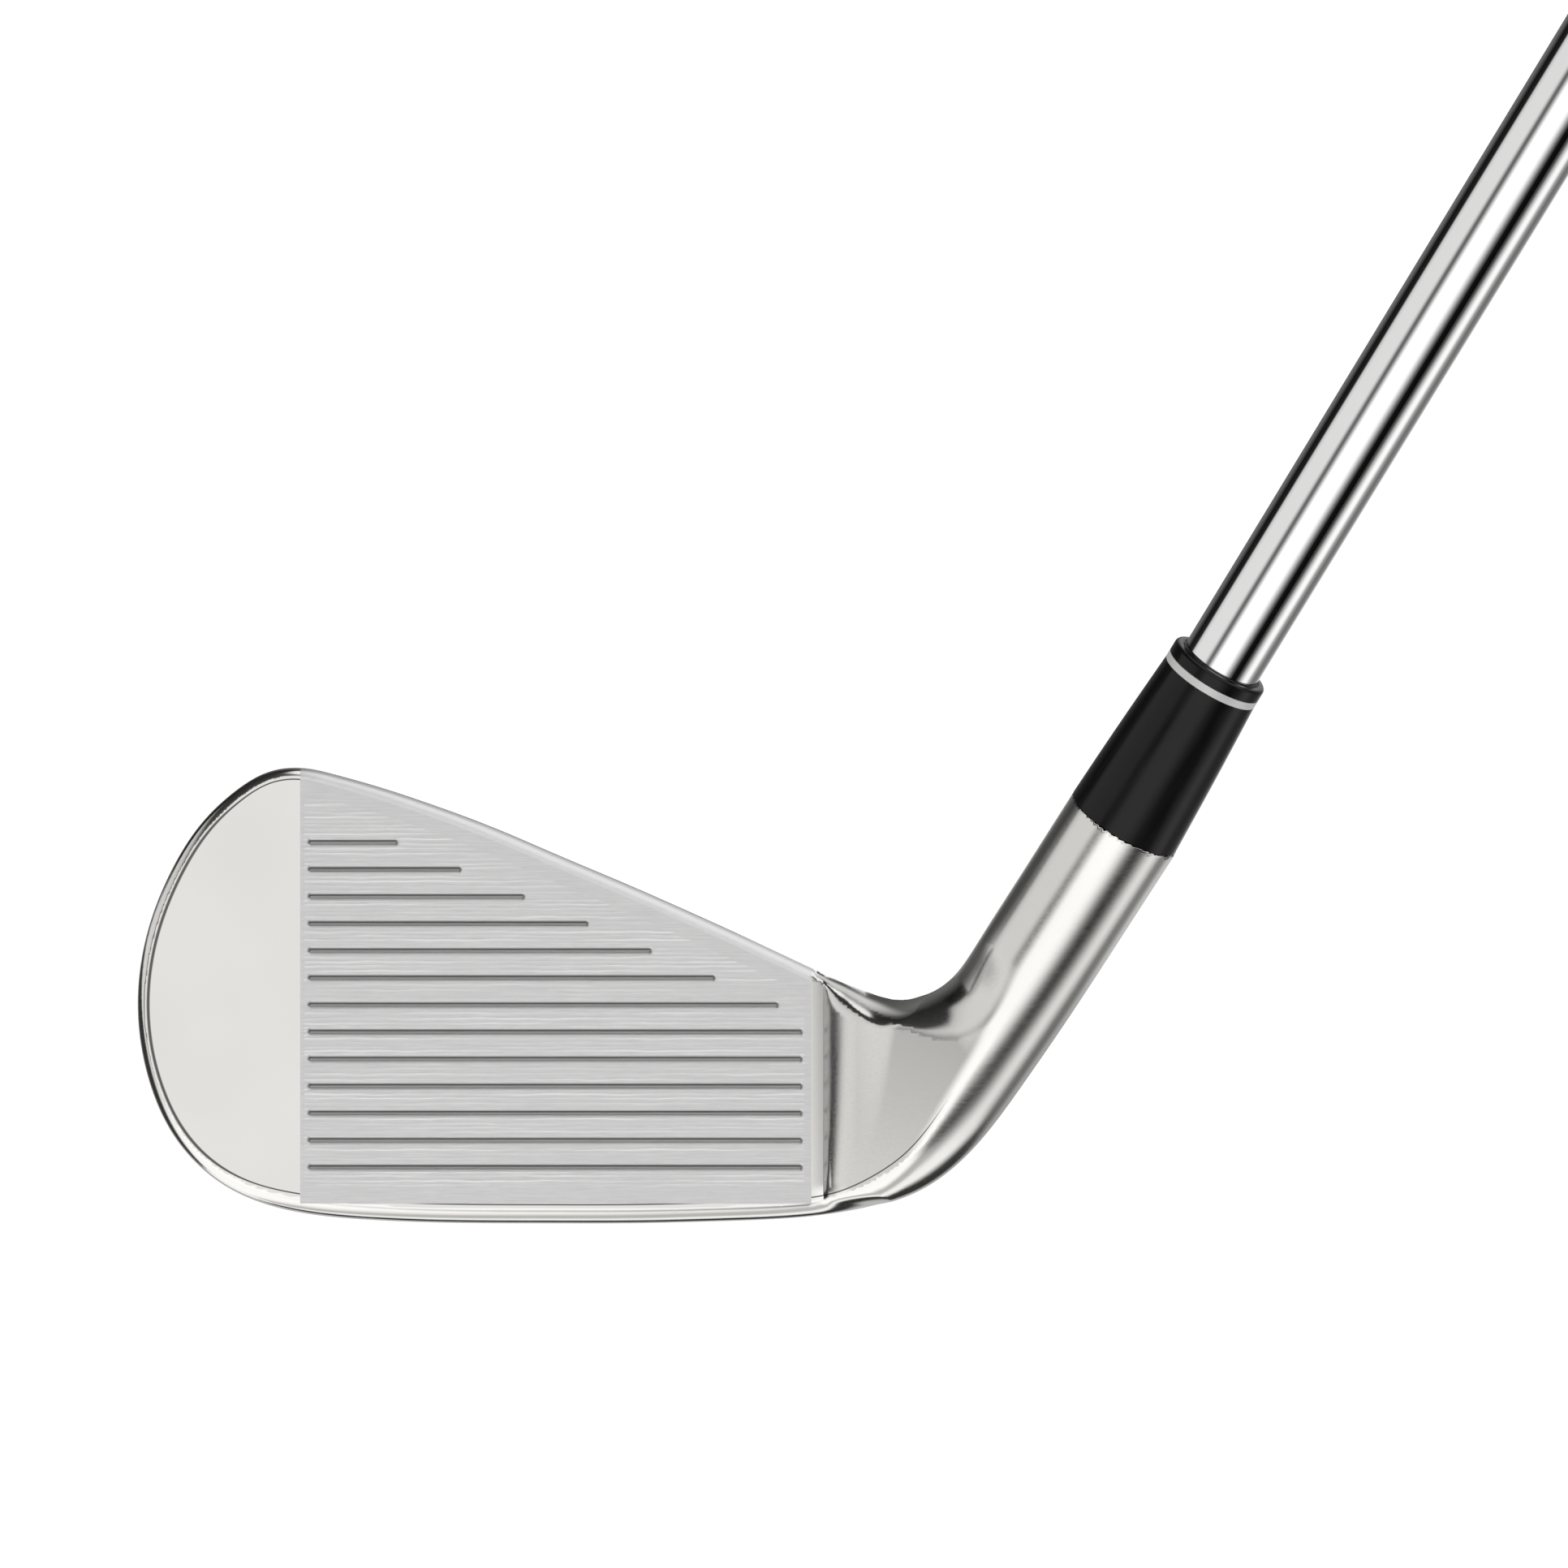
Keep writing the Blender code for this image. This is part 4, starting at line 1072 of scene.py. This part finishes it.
def satin_ring():
    finish = Finish("satin_ring", (0.54, 0.54, 0.535), 0.42, 0.3, on_shaft=True)
    turning = finish.noise((0.3, 0.3, 18.0), 2.0)
    finish.grained(turning, (0.5, 0.5, 0.497), (0.58, 0.58, 0.575), 0.36, 0.5)
    return finish.material


def moulded_rubber(name, dark, light, rough):
    finish = Finish(name, dark, rough, 0.0, on_shaft=True)
    grain = finish.noise((3.0, 3.0, 3.0), 5.0, 0.65)
    finish.grained(grain, dark, light, rough - 0.1, rough + 0.1)
    finish.bump(grain, 0.05)
    return finish.material


def brushed_badge():
    finish = Finish("brushed_badge", (0.5, 0.51, 0.53), 0.32, 1.0)
    u, v, _ = finish.axes()
    brushing = finish.noise((0.08, 9.0, 9.0), 4.0, 0.7)
    slant = finish.math("MULTIPLY_ADD", u, 0.42, v)
    stripe = finish.math("PINGPONG", slant, 1.1)
    stripe = finish.ramp(stripe, 0.5, 0.6)
    tone = finish.blend(brushing, (0.36, 0.37, 0.39), (0.62, 0.63, 0.65))
    finish.colour(finish.blend(finish.math("MULTIPLY", stripe, 0.35), tone, (0.1, 0.1, 0.11)))
    finish.roughness(finish.ramp(brushing, 0.3, 0.7, 0.25, 0.42))
    finish.bump(finish.math("MULTIPLY_ADD", stripe, -0.6, brushing), 0.03)
    return finish.material


def dense_metal(name, dark, light, rough):
    finish = Finish(name, dark, rough, 1.0)
    grain = finish.noise((2.0, 2.0, 2.0), 4.0)
    finish.grained(grain, dark, light, rough - 0.06, rough + 0.08)
    return finish.material


def printed_film():
    """Dark film with plain light rings near both edges."""
    finish = Finish("printed_film", (0.03, 0.03, 0.035), 0.2, 0.0, on_shaft=True)
    along = finish.axes()[2]
    middle = (BAND_BASE + BAND_TOP) / 2 - HOLD
    out = finish.math("ABSOLUTE", finish.math("SUBTRACT", along, middle))
    start, end = BAND_RING
    ring = finish.ramp(out, start, start + 0.1)
    ring = finish.math("MULTIPLY", ring, finish.ramp(out, end, end + 0.1, 1, 0))
    fleck = finish.noise((1.0, 1.0, 0.3), 3.0)
    base = finish.blend(fleck, (0.022, 0.022, 0.026), (0.04, 0.04, 0.045))
    finish.colour(finish.blend(ring, base, (0.6, 0.6, 0.6)))
    finish.roughness(finish.ramp(fleck, 0.3, 0.7, 0.16, 0.26))
    return finish.material


def paint(obj, material):
    obj.data.materials.clear()
    obj.data.materials.append(material)


# Pieces

STEEL = steel_head()
BLACK = gloss_black()
GRIP = moulded_rubber("grip_rubber", (0.012,) * 3, (0.03,) * 3, 0.62)
CAP = moulded_rubber("cap_rubber", (0.016,) * 3, (0.034,) * 3, 0.55)
MADE = (
    (head(), ("head_body",), "satin_steel", STEEL),
    (face_band(), ("face_plate",), "face_steel", steel_band()),
    (ferrule_cone(), ("ferrule_cone",), "ferrule_black", BLACK),
    (ferrule_ring(), ("ferrule_ring",), "ferrule_ring", satin_ring()),
    (ferrule_collar(), ("ferrule_collar",), "ferrule_black", BLACK),
    (shaft(), ("shaft",), "shaft_chrome", polished_chrome()),
    (shaft_band(), ("shaft_band",), "band_film", printed_film()),
    (grip_sleeve(), ("grip_sleeve",), "grip_rubber", GRIP),
    (grip_cap(), ("grip_cap",), "cap_rubber", CAP),
)
for piece, nodes, slot, material in MADE:
    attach(piece, "root")
    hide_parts(*nodes)
    paint(piece, material)

KEPT = {
    "toe_weight": dense_metal("tungsten", (0.28, 0.28, 0.3), (0.38, 0.38, 0.4), 0.4),
    "damping_pad": moulded_rubber("damping_pad", (0.03,) * 3, (0.06,) * 3, 0.75),
    "cavity_badge": brushed_badge(),
    "tip_weight": dense_metal("brass", (0.6, 0.44, 0.18), (0.75, 0.58, 0.28), 0.3),
    "grip_tape": moulded_rubber("grip_tape", (0.6, 0.57, 0.5), (0.78, 0.75, 0.68), 0.8),
}
for node, material in KEPT.items():
    paint(frame["nodes"][node], material)


# Studio

CAMERA_DISTANCE = 767.0
CAMERA_AIM = (26.9, 51.4, 0.0)
FLOOR_DROP = 0.35
FLOOR_RADIUS = 30.0
DRUM_RADIUS = 3.0
DRUM_HALF_LENGTH = 14.0
DRUM_SEGMENTS = 96

# Brightness of the drum round the shaft, by degrees from the front to the heel side, at five
# levels from the top down: above the shaft, shaft, hosel, neck and underside
HIGHLIGHT = (
    (14, 0.92), (22, 0.72), (31, 0.33), (38, 0.1), (45, 0.005), (58, 0.002), (66, 0.08),
    (74, 0.38), (84, 0.76), (94, 0.78), (106, 0.28), (120, 0.12), (140, 0.17), (160, 0.5),
)
DRUM_TONES = (
    (
        (-180, 0.75), (-172, 0.6), (-162, 0.42), (-145, 0.1), (-122, 0.02), (-60, 0.04),
        (-40, 0.08), (-32, 0.2), (-24, 0.55), (-17, 0.88), *HIGHLIGHT, (180, 0.75),
    ),
    (
        (-180, 0.05), (-172, 0.08), (-162, 0.12), (-145, 0.1), (-122, 0.005), (-102, 0.012),
        (-96, 0.45), (-86, 0.57), (-47, 0.58), (-42, 0.42), (-38, 0.2), (-35, 0.1),
        (-31, 0.12), (-27, 0.3), (-22, 0.6), (-17, 0.9), *HIGHLIGHT, (180, 0.85),
    ),
    (
        (-180, 0.4), (-150, 0.08), (-136, 0.045), (-120, 0.12), (-108, 0.36), (-95, 0.55),
        (-80, 0.6), (-66, 0.57), (-56, 0.58), (-46, 0.57), (-38, 0.53), (-31, 0.56), (-23, 0.74),
        (-15, 0.92), (4, 0.95), (9, 0.84), (16, 0.62), (24, 0.4), (31, 0.17), (39, 0.06),
        (48, 0.045), (56, 0.13), (64, 0.38), (74, 0.63), (84, 0.66), (95, 0.4), (106, 0.14),
        (120, 0.2), (138, 0.5), (180, 0.4),
    ),
    (
        (-180, 0.3), (-150, 0.08), (-130, 0.06), (-115, 0.2), (-104, 0.45), (-95, 0.56),
        (-80, 0.62), (-42, 0.64), (-36, 0.62), (-31, 0.54), (-27, 0.58), (-20, 0.85), (-14, 0.98),
        (5, 0.98), (11, 0.8), (18, 0.52), (25, 0.24), (33, 0.07), (44, 0.045), (54, 0.14),
        (64, 0.38), (74, 0.63), (84, 0.66), (95, 0.4), (106, 0.14), (120, 0.12), (138, 0.3),
        (180, 0.3),
    ),
    (
        (-180, 0.4), (-142, 0.3), (-130, 0.04), (-54, 0.025), (-44, 0.4), (-32, 0.85),
        (20, 0.92), (32, 0.7), (42, 0.42), (60, 0.42), (75, 0.8), (95, 0.84), (105, 0.4),
        (113, 0.025), (142, 0.025), (154, 0.4), (180, 0.4),
    ),
)
# Heights on the drum, in radii, over which each level gives way to the next
DRUM_STEPS = ((0.25, 0.05), (-0.268, -0.284), (-0.312, -0.335), (-0.4, -0.52))
DRUM_PALE = (1.1, 1.5)
DRUM_GAIN_AT = (-0.2, 0.2)
DRUM_GAIN = (1.35, 1.05)
CAMERA_LENS = 150
CAMERA_SENSOR = 36
CAMERA_REACH = 100
FLOOR_SIDES = 64
WORLD_STRENGTH = 1.12


def tone_ramp(light, share, tones):
    """A grey ramp of (degrees, tone) over the share of a full turn."""
    ramp = light.node("ShaderNodeValToRGB")
    elements = ramp.color_ramp.elements
    while len(elements) > 1:
        elements.remove(elements[-1])
    for i, (degrees, tone) in enumerate(tones):
        position = (degrees + 180) / 360
        element = elements[0] if i == 0 else elements.new(position)
        element.position = position
        element.color = (tone, tone, tone, 1)
    light.link(share, ramp.inputs["Fac"])
    return ramp.outputs["Color"]


def drum_light():
    """The drum's emission: dark strips on pale that change with the height along the shaft."""
    light = Nodes("studio_drum")
    light.tree.nodes.clear()
    output = light.node("ShaderNodeOutputMaterial")
    emission = light.node("ShaderNodeEmission")
    light.link(emission.outputs[0], output.inputs[0])
    coordinates = light.node("ShaderNodeTexCoord")
    parts = light.node("ShaderNodeSeparateXYZ")
    light.link(coordinates.outputs["Object"], parts.inputs[0])
    turn = light.math("ARCTAN2", parts.outputs["Y"], parts.outputs["X"])
    share = light.ramp(turn, -math.pi, math.pi, kind="LINEAR")
    height = light.math("DIVIDE", parts.outputs["Z"], DRUM_RADIUS)
    tone = tone_ramp(light, share, DRUM_TONES[0])
    for tones, span in zip(DRUM_TONES[1:], DRUM_STEPS):
        tone = light.blend(light.ramp(height, *span), tone, tone_ramp(light, share, tones))
    # The dark strips close towards the top end, and the low end is brighter.
    tone = light.blend(light.ramp(height, *DRUM_PALE), tone, (1, 1, 1))
    light.link(tone, emission.inputs["Color"])
    light.link(light.ramp(height, *DRUM_GAIN_AT, *DRUM_GAIN), emission.inputs["Strength"])
    light.material.cycles.emission_sampling = "NONE"
    return light.material


def circle(count, radius, height=0.0):
    """Points round a level circle."""
    angle = np.linspace(0, 2 * math.pi, count, endpoint=False)
    ring = np.column_stack((np.cos(angle), np.sin(angle))) * radius
    return np.column_stack((ring, np.full(count, height)))


def studio_drum():
    """A tube of light round the shaft's line, seen only in reflections."""
    low = circle(DRUM_SEGMENTS, DRUM_RADIUS, -DRUM_HALF_LENGTH)
    high = circle(DRUM_SEGMENTS, DRUM_RADIUS, DRUM_HALF_LENGTH)
    index = np.arange(DRUM_SEGMENTS)
    following = np.roll(index, -1)
    quads = np.stack((index, index + DRUM_SEGMENTS, following + DRUM_SEGMENTS, following), 1)
    drum = mesh_object("studio_drum", np.vstack((low, high)), quads)
    centre = to_row(np.array(CAMERA_AIM))
    drum.matrix_world = Matrix.Translation(Vector(centre)) @ AXIS_MATRIX.to_4x4()
    paint(drum, drum_light())
    drum.visible_camera = False
    drum.visible_diffuse = False
    drum.visible_shadow = False
    drum.visible_transmission = False


def floor():
    rim = circle(FLOOR_SIDES, FLOOR_RADIUS) + GROUND * MM - (0, 0, FLOOR_DROP)
    plane = mesh_object("studio_floor", rim, [list(range(FLOOR_SIDES))])
    paper = Nodes("studio_floor")
    shader = paper.tree.nodes["Principled BSDF"]
    shader.inputs["Base Color"].default_value = (0.93, 0.93, 0.93, 1)
    shader.inputs["Roughness"].default_value = 0.9
    shader.inputs["Specular IOR Level"].default_value = 0.0
    paint(plane, paper.material)
    plane.visible_glossy = False


def world():
    made = bpy.data.worlds.new("studio")
    made.use_nodes = True
    background = made.node_tree.nodes["Background"]
    background.inputs["Color"].default_value = (1, 1, 1, 1)
    background.inputs["Strength"].default_value = WORLD_STRENGTH
    bpy.context.scene.world = made


def camera():
    data = bpy.data.cameras.new("camera")
    data.lens = CAMERA_LENS
    data.sensor_width = CAMERA_SENSOR
    data.clip_end = CAMERA_REACH
    obj = bpy.data.objects.new("camera", data)
    bpy.context.scene.collection.objects.link(obj)
    spot = to_row(np.array(CAMERA_AIM) + (0, 0, CAMERA_DISTANCE))
    obj.matrix_world = Matrix.Translation(Vector(spot)) @ FACE_MATRIX.to_4x4()
    bpy.context.scene.camera = obj


studio_drum()
floor()
world()
camera()
bpy.context.scene.view_settings.view_transform = "Standard"
